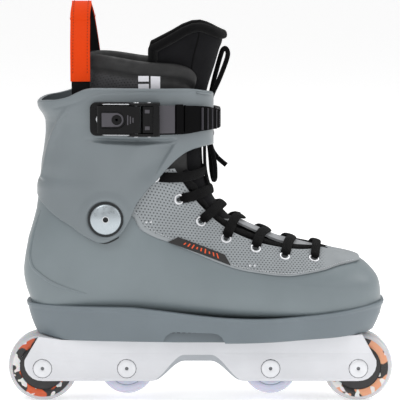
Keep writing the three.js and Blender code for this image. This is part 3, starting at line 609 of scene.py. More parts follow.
def webbing(name, colour, rib=1.1):
    """A band woven across, with fine ribs along it."""
    look = Look(name, colour, 0.85, Sheen_Weight=0.05, Specular_IOR_Level=0.15)
    split = look.node("SeparateXYZ", {0: look.place})
    ribs = look.math("SINE", look.math("MULTIPLY", split.outputs[2], 2 * math.pi / (rib * MM)))
    fine = look.math("SINE", look.math("MULTIPLY", split.outputs[0], 2 * math.pi / (rib * 0.8 * MM)))
    weave = look.math("MULTIPLY", ribs, fine)
    tint = look.ramp(weave, -1, 1, 0, 1)
    look.set("Base Color", look.blend(tint, scaled(colour, 0.86), scaled(colour, 1.1)))
    look.bump(weave, 0.35, 0.0004)
    return look.material


def urethane(name, colour, print_radius=None, seed=0.0, pale=False):
    """Cast wheel plastic; with a print radius, dark, orange and white patches show inside it."""
    look = Look(name, colour, 0.24, Subsurface_Weight=0.35, Subsurface_Scale=0.006, Coat_Weight=0.2)
    cloud = look.ramp(look.noise(30, 3), 0.3, 0.7)
    base = look.blend(cloud, scaled(colour, 0.93), scaled(colour, 1.04))
    if print_radius:
        split = look.node("SeparateXYZ", {0: look.place})
        squares = [look.math("MULTIPLY", split.outputs[i], split.outputs[i]) for i in (0, 2)]
        radius = look.math("SQRT", look.math("ADD", *squares))
        moved = look.node("VectorMath", {0: look.place, 1: (seed, 0, seed)}, operation="ADD").outputs[0]
        flat = look.node("VectorMath", {0: moved, 1: (1, 0, 1)}, operation="MULTIPLY").outputs[0]
        patches = look.ramp(look.noise(70, 1, flat), 0.5, 0.53)
        white = look.ramp(look.noise(120, 1, flat), 0.56, 0.58)
        black = rgb(24, 22, 22)
        inks = (rgb(222, 158, 122), black) if pale else (black, rgb(206, 88, 40))
        ink = look.blend(patches, *inks)
        ink = look.blend(white, ink, rgb(226, 224, 222))
        inside = look.ramp(radius, (print_radius - 0.6) * MM, print_radius * MM, 1.0, 0.0)
        base = look.blend(inside, base, ink)
    look.set("Base Color", base)
    look.bump(look.noise(500, 3), 0.03, 0.0004)
    return look.material


SHELL = plastic("shell_plastic", rgb(116, 126, 130), 0.36)
CUFF = plastic("cuff_plastic", rgb(113, 121, 125), 0.36)
PLATE = plastic("sole_plastic", rgb(106, 116, 122), 0.42)
WHITE = plastic("frame_plastic", rgb(216, 217, 221), 0.36)
# painted shade: a darker grey for the downward-facing chamfer along the frame's arch
ARCH_UNDERSIDE_SHADE = plastic("frame_underside_shade", rgb(168, 172, 177), 0.4)
BLACK = plastic("buckle_plastic", rgb(15, 15, 16), 0.26, 0.03, Specular_IOR_Level=0.16)
DARK = plastic("dark_insert", rgb(66, 64, 70), 0.5)
STRAP = plastic("strap_plastic", rgb(7, 7, 8), 0.4, Specular_IOR_Level=0.05)
# painted shade: a near-black stand-in for the shade in gaps, holes, sockets and seats
GAP_SHADE = plastic("shadow_gap", rgb(30, 33, 35), 0.7)
CAP = metal("cap_metal", rgb(176, 184, 189), 0.3)
STEEL = metal("bright_steel", rgb(196, 198, 201), 0.25)
ALLOY = metal("white_alloy", rgb(222, 223, 226), 0.38)
SOCKET = plastic("socket_grey", rgb(112, 114, 117), 0.5)
LACE = cloth("lace_weave", rgb(9, 9, 10), 0.8, 0.7, Specular_IOR_Level=0.03)
KNIT = cloth("tongue_cloth", rgb(22, 22, 24), 0.7, 0.5, Specular_IOR_Level=0.05)
BINDING = cloth("edge_binding", rgb(12, 12, 13), 0.6, 0.5, Specular_IOR_Level=0.05)
INSIDE = cloth("inner_lining", rgb(16, 16, 18), 1.2, 0.5, Specular_IOR_Level=0.05)
SKIN = leather("skin_leather", rgb(143, 148, 151), 2.8, 0.6, rgb(66, 70, 73), "zone")
COLLAR = leather("collar_leather", rgb(20, 20, 21), 2.6, 0.55, rgb(3, 3, 3), "zone",
                 rgb(50, 50, 53))
PATCH = cloth("tongue_patch", rgb(150, 152, 155), 0.8, 0.4)
THREAD = cloth("stitch_thread", rgb(188, 191, 194), 0.4, 0.3)
DARK_THREAD = cloth("dark_thread", rgb(120, 42, 14), 0.4, 0.3)
ORANGE = webbing("orange_webbing", rgb(226, 66, 10))
BLACK_BAND = webbing("black_webbing", rgb(12, 12, 13))
BADGE = plastic("badge_rubber", rgb(30, 28, 28), 0.6)
MARK = plastic("orange_mark", rgb(222, 84, 36), 0.6)
LABEL = plastic("white_label", rgb(222, 222, 228), 0.6)
FOAM = cloth("foam_sock", rgb(56, 57, 60), 1.0, 0.4)
MILK = urethane("milky_urethane", rgb(206, 208, 226))


# ---- boot ----
form = tree(loft(form_rings(0, SHELL_TOP)))
skin_form = tree(loft(form_rings(SKIN_OUT - 1.5, 200)))


# The raised line down the heel: (x, h).
HEEL_RIDGE = [(-130.5, 108), (-134, 98), (-138, 84), (-140, 71), (-138, 62), (-133, 57), (-122, 50),
              (-108, 45), (-92, 41)]
ANKLE_CUT = 52  # radius of the shell's edge round the pivot


def boot_shell():
    """The hard boot: open at the instep, and cut round at the ankle under the cuff."""
    shell = build("shell", loft(form_rings(0, SHELL_TOP)), SHELL)
    carve(shell, loft(form_rings(SHELL_WALL, SHELL_TOP + 1)))
    rim = [(PIVOT_X + ANKLE_CUT * math.cos(math.radians(a)),
            PIVOT_H + ANKLE_CUT * math.sin(math.radians(a))) for a in steps(20, 163, 48)]
    outline = rim + [(-160, rim[-1][1]), (-160, 300), (200, 300), (200, 120), (118, 84), (100, 66),
                     (40, 80), (10, 92), (-14, 108)]
    carve(shell, side_prism([(x, SOLE + h) for x, h in outline], -90, 90))
    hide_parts("boot_shell")
    for side, word in SIDES:
        path, normals = [], []
        for x, h, _ in line_through([(x, h, 0) for x, h in HEEL_RIDGE], 60):
            place, normal = touch(form, x, h, side)
            path.append(place - normal * 0.3)
            normals.append(normal)
        bead = build(f"shell_ridge_{word}", tube(path, 3.2, 2.8, normals, 12, 0.4), SHELL)


skin_lower = curve([
    (-90, 108), (-66, 109), (-57, 107), (-53.7, 104.7), (-49, 96), (-39, 89.5), (-26.3, 84.6),
    (24.7, 64.3), (53.6, 58.9), (71, 57.3), (81, 58), (101, 60.8), (114, 63.5), (124, 64.5),
    (131, 64.8)])
throat_edge = curve([
    (-31, 158), (-25, 150.5), (-21, 144.3), (-14, 131.8), (-6.7, 120.6), (0.5, 111.5), (15, 97.5),
    (36, 86.3), (57, 79.4), (80, 75.4), (104.6, 74.2), (112, 74)])
THROAT_END = -0.47
SKIN_REAR = -58  # the skin ends here, under the cuff
SKIN_END = -0.63
EYELET_RADIUS, EYELET_WIRE = 3.7, 0.8
# Rivets and eyelets on the side view: (x, h). The last eyelet is at the cuff's edge.
RIVETS = ((-43.5, 100.8), (-39.9, 101), (40.2, 66.2), (44.2, 66.2))
EYELETS = [(92.5, 68.7), (68.5, 71.3), (44.8, 77.8), (20.8, 85.7), (0.2, 99.3), (-17.7, 117.7),
           (-37, 137.5)]
# Where the strand from each eyelet crosses the middle of the instep: (x, h).
CROSSINGS = [(96, 77.3), (75.5, 80.4), (55.2, 87.2), (34.3, 98.2), (18.5, 110.3), (8.8, 122),
             (2.5, 138)]


def last_angle(place, start, end, rounds, inside):
    """The last angle of a section, from start to end, whose point is still inside."""
    for _ in range(rounds):
        angle = (start + end) / 2
        if inside(on_form(place, angle, SKIN_OUT)):
            start = angle
        else:
            end = angle
    return start


def throat_angle(place):
    """The angle where the skin ends beside the throat; past the throat's end it closes."""
    if place < THROAT_END:
        return 0.0
    angle = last_angle(place, 0.02, 1.5, 22, lambda p: p.z - SOLE > throat_edge(p.x))
    return angle * math.sqrt(smooth(place, THROAT_END, THROAT_END + 0.07))


def form_spot(x, h):
    """The place and the angle on the form that are seen at (x, h) from the side."""
    best = (1e9, 0, 0)
    places, angles = steps(-0.6, 1.1, 34), steps(0.1, 1.5, 20)
    for _ in range(4):
        for place in places:
            for angle in angles:
                p = on_form(place, angle, SKIN_OUT)
                d = math.hypot(p.x - x, p.z - SOLE - h)
                if d < best[0]:
                    best = (d, place, angle)
        span = (places[1] - places[0]), (angles[1] - angles[0])
        places = steps(best[1] - span[0], best[1] + span[0], 8)
        angles = steps(best[2] - span[1], best[2] + span[1], 8)
    return best[1], best[2]


def crest_spot(x):
    """The place whose section meets the middle of the instep at x."""
    return min(steps(-0.6, 1.1, 400), key=lambda place: abs(on_form(place, 0.001, SKIN_OUT).x - x))


SPOTS = [form_spot(x, h) for x, h in EYELETS]


def lower_angle(place):
    """The angle where the skin ends at its stitched edge or under the cuff."""
    return last_angle(place, 0.05, 2.4, 24,
                      lambda p: p.z - SOLE > skin_lower(p.x) and p.x > SKIN_REAR)


def skin():
    """The perforated outer skin: each side from the throat's edge down to its stitched edge."""
    places = steps(SKIN_END, THROAT_END, 14)[:-1] + steps(THROAT_END, -0.3, 12)[:-1]
    places += steps(-0.3, 0.97, 96)
    columns = 46
    for side, word in SIDES:
        outer, inner, zones = [], [], []
        for place in places:
            first, last = throat_angle(place), lower_angle(place)
            row, back, zone = [], [], []
            for t in steps(0, 1, columns):
                a = mix(first, last, t)
                edge = 1.0 - 0.75 * smooth(1 - min(t, 1 - t) * columns, 0, 1)
                p = on_form(place, side * a, SKIN_OUT - 0.3 + 0.9 * (1 - edge))
                row.append(p)
                back.append(on_form(place, side * a, -0.2))
                fade = smooth(place, -0.42, -0.36) * smooth(t, 0.03, 0.06)
                zone.append(fade * (1 - smooth(t, 0.93, 0.96)))
            outer.append(row)
            inner.append(back)
            zones += zone
        piece = build(f"skin_{word}", panel(outer, inner), SKIN, angle=60)
        paint_zone(piece, outer, zones, 1.0)
        if side == OUTER:
            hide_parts("skin")
        # short threads just inside the lower edge
        line = [on_form(p, side * (lower_angle(p) - 0.055), SKIN_OUT - 0.7) for p in places[4:-4]]
        build(f"skin_stitches_{word}", dashes(line, 2.1, 1.3, 0.55), THREAD)


def dashes(line, pitch, length, thick):
    """Short threads at a pitch along a line of points."""
    parts, travelled, next_at = [], 0.0, 1.0
    for a, b in zip(line, line[1:]):
        span = (b - a).length
        while span and next_at < travelled + span:
            p = a + (b - a) * ((next_at - travelled) / span)
            along = (b - a).normalized()
            thread = [p - along * length / 2, p - along * length / 4, p + along * length / 4,
                      p + along * length / 2]
            parts.append(tube(thread, thick, thick, sides=6, taper=0.3))
            next_at += pitch
        travelled += span
    return joined(parts)


def axes_on(normal):
    """Two directions that lie on a surface with this normal."""
    across = normal.cross(Vector((0, 0, 1))).normalized()
    return across, normal.cross(across).normalized()


def ring(place, normal, radius, wire, sides=40):
    """A torus lying on a surface."""
    across, up = axes_on(normal)
    rings = []
    for i in range(sides):
        a = 2 * math.pi * i / sides
        out = across * math.cos(a) + up * math.sin(a)
        rings.append([place + out * (radius + wire * math.cos(b))
                      + normal * (wire * 0.75 * math.sin(b))
                      for b in steps(0, 2 * math.pi, 10)[:-1]])
    return loft(rings, closed=True)


def dome(place, normal, radius, rise, rings=5, sides=18):
    """A low round cap on a surface."""
    across, up = axes_on(normal)
    layers = []
    for t in steps(0, 0.96, rings):
        size, lift = radius * math.cos(t * math.pi / 2), rise * math.sin(t * math.pi / 2)
        layers.append([place + (across * math.cos(a) + up * math.sin(a)) * size + normal * lift
                       for a in steps(0, 2 * math.pi, sides)[:-1]])
    return loft(layers)


def eyelet_place(index, side, out=0.0):
    place, angle = SPOTS[index]
    return on_form(place, side * angle, SKIN_OUT - 0.3 - out)


def normal_at(place, angle, side):
    here = on_form(place, side * angle, SKIN_OUT)
    u = on_form(place + 0.01, side * angle, SKIN_OUT) - here
    v = on_form(place, side * (angle + 0.02), SKIN_OUT) - here
    n = u.cross(v).normalized()
    return n if n.y * side > 0 else -n


def eyelets():
    """A metal ring round each dark hole, and two pairs of rivets on each side."""
    rings, hole_shades, rivets = [], [], []
    for side, _ in SIDES:
        for i in range(len(EYELETS)):
            normal = normal_at(*SPOTS[i], side)
            rings.append(ring(eyelet_place(i, side, 0.3), normal, EYELET_RADIUS, EYELET_WIRE))
            # painted shade: a near-black disc inside each ring, for the shade in the hole
            hole_shades.append(dome(eyelet_place(i, side, -0.6), normal, 3.2, 0.7))
        for x, h in RIVETS:
            place, normal = touch(skin_form, x, h, side)
            rivets.append(dome(place - normal * 1.3, normal, 1.3, 0.9))
    build("eyelet_rings", joined(rings), ALLOY)
    build("eyelet_holes", joined(hole_shades), GAP_SHADE)
    build("skin_rivets", joined(rivets), STEEL)


def out_of_form(point):
    """The direction out of the boot at a point near its form."""
    place, normal, _, _ = skin_form.find_nearest(point)
    inside = Vector((place.x - 10, side_shift(place.x), place.z - 30))
    return normal if normal.dot(place - inside) > 0 else -normal


def strand(line, wide, thick, ends):
    """A flat length of lace lying on the boot."""
    return tube(line, wide, thick, [out_of_form(p) for p in line], 14, ends)


LACE_THICK = 2.6


def laces():
    """Each strand leaves its eyelet, crosses the tongue and goes into the eyelet opposite."""
    parts = []
    for i, ((place, angle), (x, h)) in enumerate(zip(SPOTS, CROSSINGS)):
        top = crest_spot(x)
        crest = on_form(top, 0.001, SKIN_OUT)
        for side, _ in SIDES:
            line = []
            for t in steps(0, 1, 22):
                lift = mix(-1.4, 1.9, smooth(t, 0, 0.12)) - 0.4 * smooth(t, 0.5, 1)
                p = on_form(mix(place, top, t ** 1.15), side * angle * (1 - t), SKIN_OUT - lift)
                p += (Vector((x, crest.y, SOLE + h)) - crest) * t * t
                line.append(p)
            line.append(line[-1] + Vector((0.2, -side * 3, -0.2)))
            parts.append(strand(line, 8.2 - 0.9 * (i == 0), LACE_THICK, 0.07))
    for side, _ in SIDES:
        # the lower run of the lace along the throat's edge, from one strand to the next
        line = []
        for t in steps(-0.44, 0.93, 90):
            wave = 0.03 * math.sin(t * 26)
            angle = side * (max(throat_angle(t) - 0.1, 0.05) + wave)
            line.append(on_form(t, angle, SKIN_OUT + 0.7))
        parts.append(strand(line, 6.6, LACE_THICK, 0.02))
        # the upright run of the lace on the tongue, up to the bow
        line = line_through([(x, side * y, SOLE + h) for x, y, h in (
            (8.8, 4, 121), (5.6, 4.5, 131), (3.8, 5, 142), (3.4, 5, 158), (3.6, 4.5, 176),
            (6.5, 4, 196))], 40)
        parts.append(tube(line, 7.4, LACE_THICK, [Vector((1, 0.1 * side, 0.1))] * len(line), 14, 0.04))
    parts.append(turned([(0.5, -5.5), (4.0, -4.6), (5.2, 0), (4.0, 4.6), (0.5, 5.5)],
                        (6.2, 0, SOLE + 169), 20))
    piece = build("lacing", joined(parts), LACE)
    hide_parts("laces")


# The centre lines of the bow and of the loose end, as in the CAD: (x, y, h).
UPPER_LOOP = [
    (8, -5, 196), (10.4, -5.5, 203), (14.6, -6, 212), (19, -6, 223), (21.8, -5, 231),
    (22.4, -3, 235.6), (20.6, 0, 238.6), (18.2, 3, 237), (16.2, 5.5, 231), (13.4, 6, 221),
    (10.8, 6, 211), (8.5, 6, 200)]
LOWER_LOOP = [
    (6, -5, 168), (7.5, -5.5, 161), (10.2, -6, 152), (11.9, -6, 143), (12.2, -5, 134),
    (11.9, -2.5, 131.4), (11.2, 1, 130), (10.2, 4.5, 132), (9.2, 6, 138), (8.4, 6, 148),
    (7.4, 6, 158), (6, 5.5, 167)]
LACE_END = [
    (6.4, 0.5, 173), (7.6, 0.5, 163), (9.8, 0.5, 155), (13.4, 0.5, 149.4), (17.6, 0, 145.4),
    (21.4, -0.5, 142.4)]
LACE_DIAMETER = 4.0


def length_of(line):
    """A line's length in metres."""
    return sum((b - a).length for a, b in zip(line, line[1:])) * MM


def lace_cord(name, node, route, count):
    line = line_through([(x, y, SOLE + h) for x, y, h in route], count)
    normals = [Vector((0, 1, 0))] * len(line)
    piece = build(name, tube(line, LACE_DIAMETER, LACE_DIAMETER * 0.9, normals, 14), LACE)
    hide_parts(node)


# ---- tongue ----
# The tongue's middle line, toe first: (x, h).
CREST = [(101, 62.5), (80, 72), (60, 79), (42, 87), (26, 98), (13, 112), (4, 130), (1, 150), (1, 180),
         (5, 205), (12, 228), (17, 247), (18, 261)]
TONGUE_RINGS = 150
TONGUE_COLUMNS = 26


def tongue_top(drop):
    """Height of the tongue's top edge at a distance back from its crest."""
    return 251 + 7.4 * smooth(drop, -2, 20) - 17 * smooth(drop, 20, 60)


def tongue_rings():
    """Each ring goes over the tongue's near face and back along its far face."""
    line = line_through([(x, 0, h) for x, h in CREST], TONGUE_RINGS)
    total = length_of(line)
    rings, travelled = [], 0.0
    for i, at in enumerate(line):
        if i:
            travelled += (at - line[i - 1]).length * MM
        t = travelled / total
        along = (line[min(i + 1, TONGUE_RINGS)] - line[max(i - 1, 0)]).normalized()
        up = Vector((along.z, 0, -along.x))
        wide = mix(14, 27.5, smooth(t, 0.3, 0.75)) + 2.5 * smooth(t, 0.8, 0.96)
        bend = mix(5, 44, smooth(t, 0.3, 0.75)) + 30 * smooth(t, 0.7, 0.88)
        ring_points = []
        for face in (0, 1):
            values = steps(1, -1, TONGUE_COLUMNS)[1:-1] if face else steps(-1, 1, TONGUE_COLUMNS)
            for v in values:
                drop = bend * (1 - math.sqrt(max(1 - (v * 0.96) ** 2, 0)))
                thin = (1 - abs(v) ** 5) ** 0.5
                depth = 3 - (-3.0 if face else 3.4) * thin
                p = at + up * -(drop + depth)
                p.y = v * wide * (0.97 if face else 1) + side_shift(at.x)
                p.z = min(p.z, tongue_top(drop) - 1.5 * (1 - thin) - (1 - t) * total / MM * 0.55)
                ring_points.append(Vector((p.x, p.y, p.z + SOLE)))
        rings.append(ring_points)
    return rings


def tongue():
    rings = tongue_rings()
    piece = build("tongue_pad", loft(rings), KNIT, angle=70)
    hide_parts("tongue")
    # the bound edge over the top and down both sides, and two seams down the near side
    ends = range(118, TONGUE_RINGS)
    top = [p + Vector((0, 0, -1.0)) for p in rings[-1][:TONGUE_COLUMNS + 1]]
    line = [rings[i][0] for i in ends] + top + [rings[i][TONGUE_COLUMNS] for i in ends][::-1]
    normals = [Vector((p.x + 8, p.y, 6)).normalized() for p in line]
    edge = build("tongue_binding", tube(line, 7.5, 7.0, normals, 12, 0.05), BINDING, angle=80)
    for v in (4, 22):
        seam = [rings[i][v] for i in range(100, 147)]
        normals = [Vector((p.x + 8, p.y, 0)).normalized() for p in seam]
        seam = [p - n * 0.2 for p, n in zip(seam, normals)]
        build(f"tongue_seam_{v}", tube(seam, 1.8, 1.0, normals, 8), BINDING)
    # the grey patch on the tongue under the laces
    grids = []
    for inset in (0.9, 3.0):
        grids.append([[on_form(place, angle, SKIN_OUT + inset) for angle in steps(-0.3, 0.3, 12)]
                      for place in steps(-0.46, 0.7, 70)])
    patch = build("tongue_patch", panel(*grids), PATCH, angle=60)


# ---- liner ----
rim_height = curve([(-112, 233), (-86, 235), (-48.5, 230), (-24, 228), (-12, 225), (-6, 221),
                    (-1, 214), (2, 204)])
LINER_OUT = 4.3  # from the boot's form in to the liner's outside
LINER_WALL = 6.5
LINER_LOW = 106
LINER_OPEN = 0.5  # the angle where the collar's front opening starts


def liner_point(angle, h, inset):
    front, back = front_line(h) - inset, heel_line(h) + inset
    x = (front + back) / 2 + (front - back) / 2 * power(math.cos(angle), ROUND[0])
    w = max(half_width(x, h) - inset, 1)
    return Vector((x, w * power(math.sin(angle), ROUND[1]), SOLE + h))


def liner():
    """A padded collar: each ring runs up the outside, over the rim and down the inside."""
    rings, zones = [], []
    core = LINER_OUT + LINER_WALL / 2
    for angle in steps(LINER_OPEN, 2 * math.pi - LINER_OPEN, 170):
        edge = min(angle - LINER_OPEN, 2 * math.pi - LINER_OPEN - angle)
        thin = math.sqrt(clamp(1 - (1 - clamp(edge / 0.14)) ** 2, 0.03))
        top = rim_height(liner_point(angle, 215, LINER_OUT).x)
        ring_points, ring_zones = [], []
        side = abs(math.sin(angle))
        for h in steps(LINER_LOW, top - 5, 46):
            roll = smooth(h, top - 12.5, top - 8)
            puff = 1.8 * roll - 1.0 * math.exp(-((h - top + 13) / 1.5) ** 2)
            ring_points.append(liner_point(angle, h, mix(core, LINER_OUT - puff, thin)))
            x = liner_point(angle, h, 0).x
            field = smooth(x, -98, -92)
            field *= 1 - smooth(x, -36, -30)
            ring_zones.append(field * (1 - smooth(h, top - 16, top - 14.5)) * side)
        for a in steps(0, math.pi, 12)[1:-1]:
            reach = (LINER_WALL / 2 + 1.2) * math.cos(a) * thin
            ring_points.append(liner_point(angle, top - 5 + 5.4 * math.sin(a), core - 0.4 - reach))
            ring_zones.append(0)
        for h in steps(top - 5, LINER_LOW, 40):
            swell = 1.2 * smooth(h, top - 30, top - 12)
            inset = LINER_OUT + LINER_WALL + swell
            ring_points.append(liner_point(angle, h, mix(core, inset, thin)))
            ring_zones.append(0)
        rings.append(ring_points)
        zones += ring_zones
    piece = build("liner_collar", loft(rings), COLLAR, body=None, angle=70)
    paint_zone(piece, rings, zones, 0.0)
    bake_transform(piece)
    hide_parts("liner_upper")
    label()


def label():
    """A small plain label with three bars, on the outer side of the collar."""
    surface = tree(loft([[liner_point(a, h, LINER_OUT - 0.2)
                          for a in steps(0, 2 * math.pi, 120)[:-1]] for h in steps(190, 236, 20)]))
    bars = ((-50, -41.5, 214.5, 219.0), (-50, -41.5, 208.0, 212.5), (-40, -32.5, 208.0, 219.0))
    for i, (x0, x1, h0, h1) in enumerate(bars, 1):
        spots = [[(x, h) for h in steps(h0, h1, 6)] for x in steps(x0, x1, 10)]
        grids = [laid(surface, spots, out) for out in (0.5, -0.4)]
        build(f"label_bar_{i}", panel(*grids), LABEL, body="cuff")


def lower_liner():
    """The part of the liner in the foot of the boot, and its footbed."""
    piece = build("liner_foot", loft(form_rings(LINER_OUT, 150, 72)), INSIDE)
    floor = SOLE + BOOT_FLOOR + 9 + LINER_OUT + LINER_WALL
    hollow = [[Vector((p.x, p.y, max(p.z, floor))) for p in points]
              for points in form_rings(LINER_OUT + LINER_WALL, 151, 72)]
    carve(piece, loft(hollow))
    upper = [(-160, 114), (-20, 114), (2, 112), (30, 96), (60, 84), (96, 70), (150, 90), (150, 260),
             (-160, 260)]
    carve(piece, side_prism([(x, SOLE + h) for x, h in upper], -90, 90))
    carve(piece, plan_prism([(-30, -19), (92, -14), (92, 22), (-30, 19)], SOLE + 60, SOLE + 200))
    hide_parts("liner_lower")


def footbed():
    inset = LINER_OUT + LINER_WALL + 0.4
    x0, x1 = span("footbed", 0)
    z0, z1 = span("footbed", 2)
    outline = []
    for t in steps(0, 1, 60):
        x = mix(x0 + 1, x1 - 2, (1 - math.cos(t * math.pi)) / 2)
        rear = clamp((x - x0) / 26)
        w = (half_width(x, 42) - inset - 1.5) * (1 - (1 - rear) ** 2.2) ** 0.5
        outline.append((x, max(w, 0.5)))
    edge = [(x, side_shift(x) - w) for x, w in outline]
    edge += [(x, side_shift(x) + w) for x, w in outline[::-1]]
    shape = plan_prism(edge, z0 + 2, z1 + 0.5)
    piece = build("insole", shape, FOAM, bevel=1.6)
    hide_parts("footbed")
    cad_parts["heel_pad"].data.materials[0] = FOAM


# ---- sole plate ----
HEEL_X = -143
TOE_X = 151.5
GROOVE = (-31.5, 21)
WELL_RADIUS, WELL_HALF = 33, 13.6  # the room for a wheel
SOLE_SIDES = 220
SOLE_ALONG, SOLE_ACROSS = 0.82, 0.62  # the plan's exponents


def sole_lift(x):
    """How far the sole's underside rises at the heel and towards the toe."""
    return 3.4 * smooth(-x, 108, 136) + 5 * max(0, (x - 21) / 110) ** 1.4


def sole_point(t, angle, inset):
    """A point of the sole's side: t goes from its underside, 0, to its seam with the boot, 1."""
    centre = (HEEL_X + TOE_X) / 2
    reach = (TOE_X - HEEL_X) / 2 - 8 * (1 - t) ** 1.6 - inset
    x = centre + reach * power(math.cos(angle), SOLE_ALONG)
    seam = 30.5 - 8 * max(0, 1 - ((x - 45) / 105) ** 2) ** 1.5
    w = foot_width(x) + 3 - 9 * (1 - t) ** 1.4 - inset
    across = w * power(math.sin(angle), SOLE_ACROSS)
    bulge = 5.2 * math.exp(-((x - 116) / 22) ** 2) * min(abs(across) / 20, 1)
    across += math.copysign(bulge, across)
    return Vector((x, side_shift(x) + across, SOLE + mix(sole_lift(x), seam, t)))


def sole_plate():
    angles = [(i + 0.5) / SOLE_SIDES * 2 * math.pi for i in range(SOLE_SIDES)]

    def level(t, inset, lift=0.0):
        return [sole_point(t, a, inset) + Vector((0, 0, lift)) for a in angles]

    rings = [level(0, 14), level(0, 1.6)]
    for t in [0.02, 0.05] + steps(0.09, 0.82, 14) + [0.86, 0.89, 0.92, 0.95, 0.97, 0.985]:
        fillet = 1.6 * (1 - clamp(t / 0.05)) ** 2
        lip = 0.9 * smooth(t, 0.84, 0.9)
        rings.append(level(t, fillet - lip))
    rings += [level(1, -0.3), level(1, 1.2, 0.2), level(1, 4.4, -0.7), level(0.5, 6.5), level(0.5, 14)]
    piece = build("sole", loft(rings, closed=True), PLATE)
    floor = build("sole_floor", plan_prism([(p.x, p.y) for p in level(0, 12)], SOLE + 4.8,
                                           SOLE + 16.5), PLATE)
    for x in (middle(w + "_tyre")[0] for w in WHEELS):
        well = turned([(0.01, -WELL_HALF), (WELL_RADIUS, -WELL_HALF), (WELL_RADIUS, WELL_HALF),
                       (0.01, WELL_HALF)], (x, 0, 29), 48)
        carve(floor, well)
    left, right = GROOVE
    half = [(0, -1), (1, 1), (3.5, 6), (7, 8.8), (11, 9.5)]
    groove = [(left + x, SOLE + h) for x, h in half]
    groove += [(right - x, SOLE + h) for x, h in half[::-1]]
    for side, _ in SIDES:
        carve(piece, side_prism(groove, *sorted((side * 33, side * 90))))
    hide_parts("sole_plate")
    for side, word in SIDES:
        # fine ribs across the top of the groove, near-black as painted shade for the shade between them
        y = side * 36
        ribs = [block(left + 8 + i * 4.4, left + 10.6 + i * 4.4, y - 2.2, y + 2.2, SOLE + 8.7, SOLE + 9.9)
                for i in range(9)]
        shade_ribs = build(f"groove_shade_ribs_{word}", joined(ribs), GAP_SHADE, bevel=0.3)


# ---- cuff ----
cuff_back = curve([
    (60, -134), (126, -134.4), (131, -133.6), (136, -131.4), (146, -130.6), (158, -129),
    (180, -128.6), (185, -130.2), (190, -132.6), (195, -133.6), (215, -134)])
CUFF_FRONT = 11
CUFF_WALL = 3.6
CUFF_COLUMNS, CUFF_ROWS = 330, 190
CUFF_SIDE = 0.7  # the plan's exponent across: below 1 flattens its sides
CUFF_OPENING = 9  # half of the open front's width
cuff_top = curve([
    (-134, 194.8), (-124.6, 198.3), (-114, 199.6), (-102.9, 202.5), (-96, 206), (-88.5, 209.2),
    (-80.4, 209.9), (11, 208.8)])
cuff_low = curve([
    (-134.4, 126.5), (-126.7, 117.3), (-113.8, 105.5), (-101.1, 97.6), (-91.8, 90.8), (-82.6, 86.1),
    (-76.4, 84.5), (-70.2, 86.1), (-62.8, 90.8), (-57.8, 97), (-54, 104.5), (-47.9, 117.7),
    (-30.9, 138.9), (-18.8, 151.8), (-10, 157.9), (1.3, 162.4), (10.4, 165.4)])
# Lines drawn in the cuff's surface, on the side view: (x, h).
RIDGE = [(-104, 195), (-108, 190.5), (-114, 181), (-119, 170), (-122.5, 160), (-126, 144.4),
         (-128, 136)]
PANEL_EDGE = [(-18, 167), (-34, 142)]
TOP_LINE = [(-118, 193), (-106, 196), (-96.5, 199.5), (-88, 203.5), (-78, 206.2), (-48, 206.6),
            (-4, 206.3)]


def cuff_detail(x, h):
    """How far the cuff's surface stands out, in millimetres."""
    r = math.hypot(x - PIVOT_X, h - PIVOT_H)
    # the pivot's seat and the raised ring round it
    out = -1.1 * (1 - smooth(r, 13.6, 14.5))
    out += 0.9 * smooth(r, 14.5, 16) * (1 - smooth(r, 17, 24))
    # the ridge down the back, and the hollow behind it
    d, along = near_line(x, h, RIDGE)
    out += 2.3 * math.exp(-(d / 2.2) ** 2) * smooth(along, 0, 0.25)
    behind = x + 118 - (h - 170) * 0.45
    out -= 1.5 * smooth(-behind, 2, 12) * smooth(h, 132, 150) * (1 - smooth(h, 184, 194))
    # the crease, the swelling below it and the panel's slanting front edge
    below, front = crease_height(x) - h, panel_side(x, h)
    lens = smooth(x, -94, -74) * (1 - smooth(front, -5, 0))
    swelling = smooth(below, 1.0, 3.5) * (1 - smooth(below, 8, 50)) * (1 - smooth(front, -26, -8))
    out += 1.6 * lens * swelling
    out -= 2.9 * lens * (1 - smooth(abs(below), 0.5, 2.0 + 0.6 * lens))
    slant = smooth(front, -26, -2) * (1 - smooth(front, -1.6, 0))
    out -= 2.6 * slant * smooth(below, 0, 4) * (1 - smooth(below, 14, 36))
    # the fine line under the top edge
    d, _ = near_line(x, h, TOP_LINE)
    return out - 0.55 * math.exp(-(d / 1.2) ** 2)


def crease_height(x):
    return 168.4 - 1.2 * smooth(x, -92, -50)


def panel_side(x, h):
    """Distance in front of the raised panel's slanting front edge."""
    (ax, ah), (bx, bh) = PANEL_EDGE
    length = math.hypot(bx - ax, bh - ah)
    return ((bx - ax) * (h - ah) - (bh - ah) * (x - ax)) / length


def cuff_point(angle, h, inset):
    """A point of the cuff: angle 0 is the middle of its front and pi of its back."""
    back, front = cuff_back(h) + inset, CUFF_FRONT - inset
    e = 0.78 if math.cos(angle) > 0 else 0.8
    x = (front + back) / 2 + (front - back) / 2 * power(math.cos(angle), e)
    return Vector((x, (CUFF_HALF - inset) * power(math.sin(angle), CUFF_SIDE), SOLE + h))


def cuff_angles(count):
    """Angles round the cuff, closer together where its plan turns fast."""
    open_at = math.asin((CUFF_OPENING / CUFF_HALF) ** (1 / CUFF_SIDE))
    start, end = open_at, 2 * math.pi - open_at
    fine = steps(start, end, count * 12)
    points = [cuff_point(a, 180, 0) for a in fine]
    lengths = [0.0]
    for a, b in zip(points, points[1:]):
        lengths.append(lengths[-1] + (b - a).length)
    angles, k = [], 0
    for target in steps(0, lengths[-1], count):
        while k < len(lengths) - 1 and lengths[k] < target:
            k += 1
        angles.append(fine[k])
    return angles


def front_dip(p):
    """The cuff's edges dip towards the middle of its open front."""
    return 0.137 * clamp(p.y + 45, 0, 54) * smooth(p.x, -14, 6)


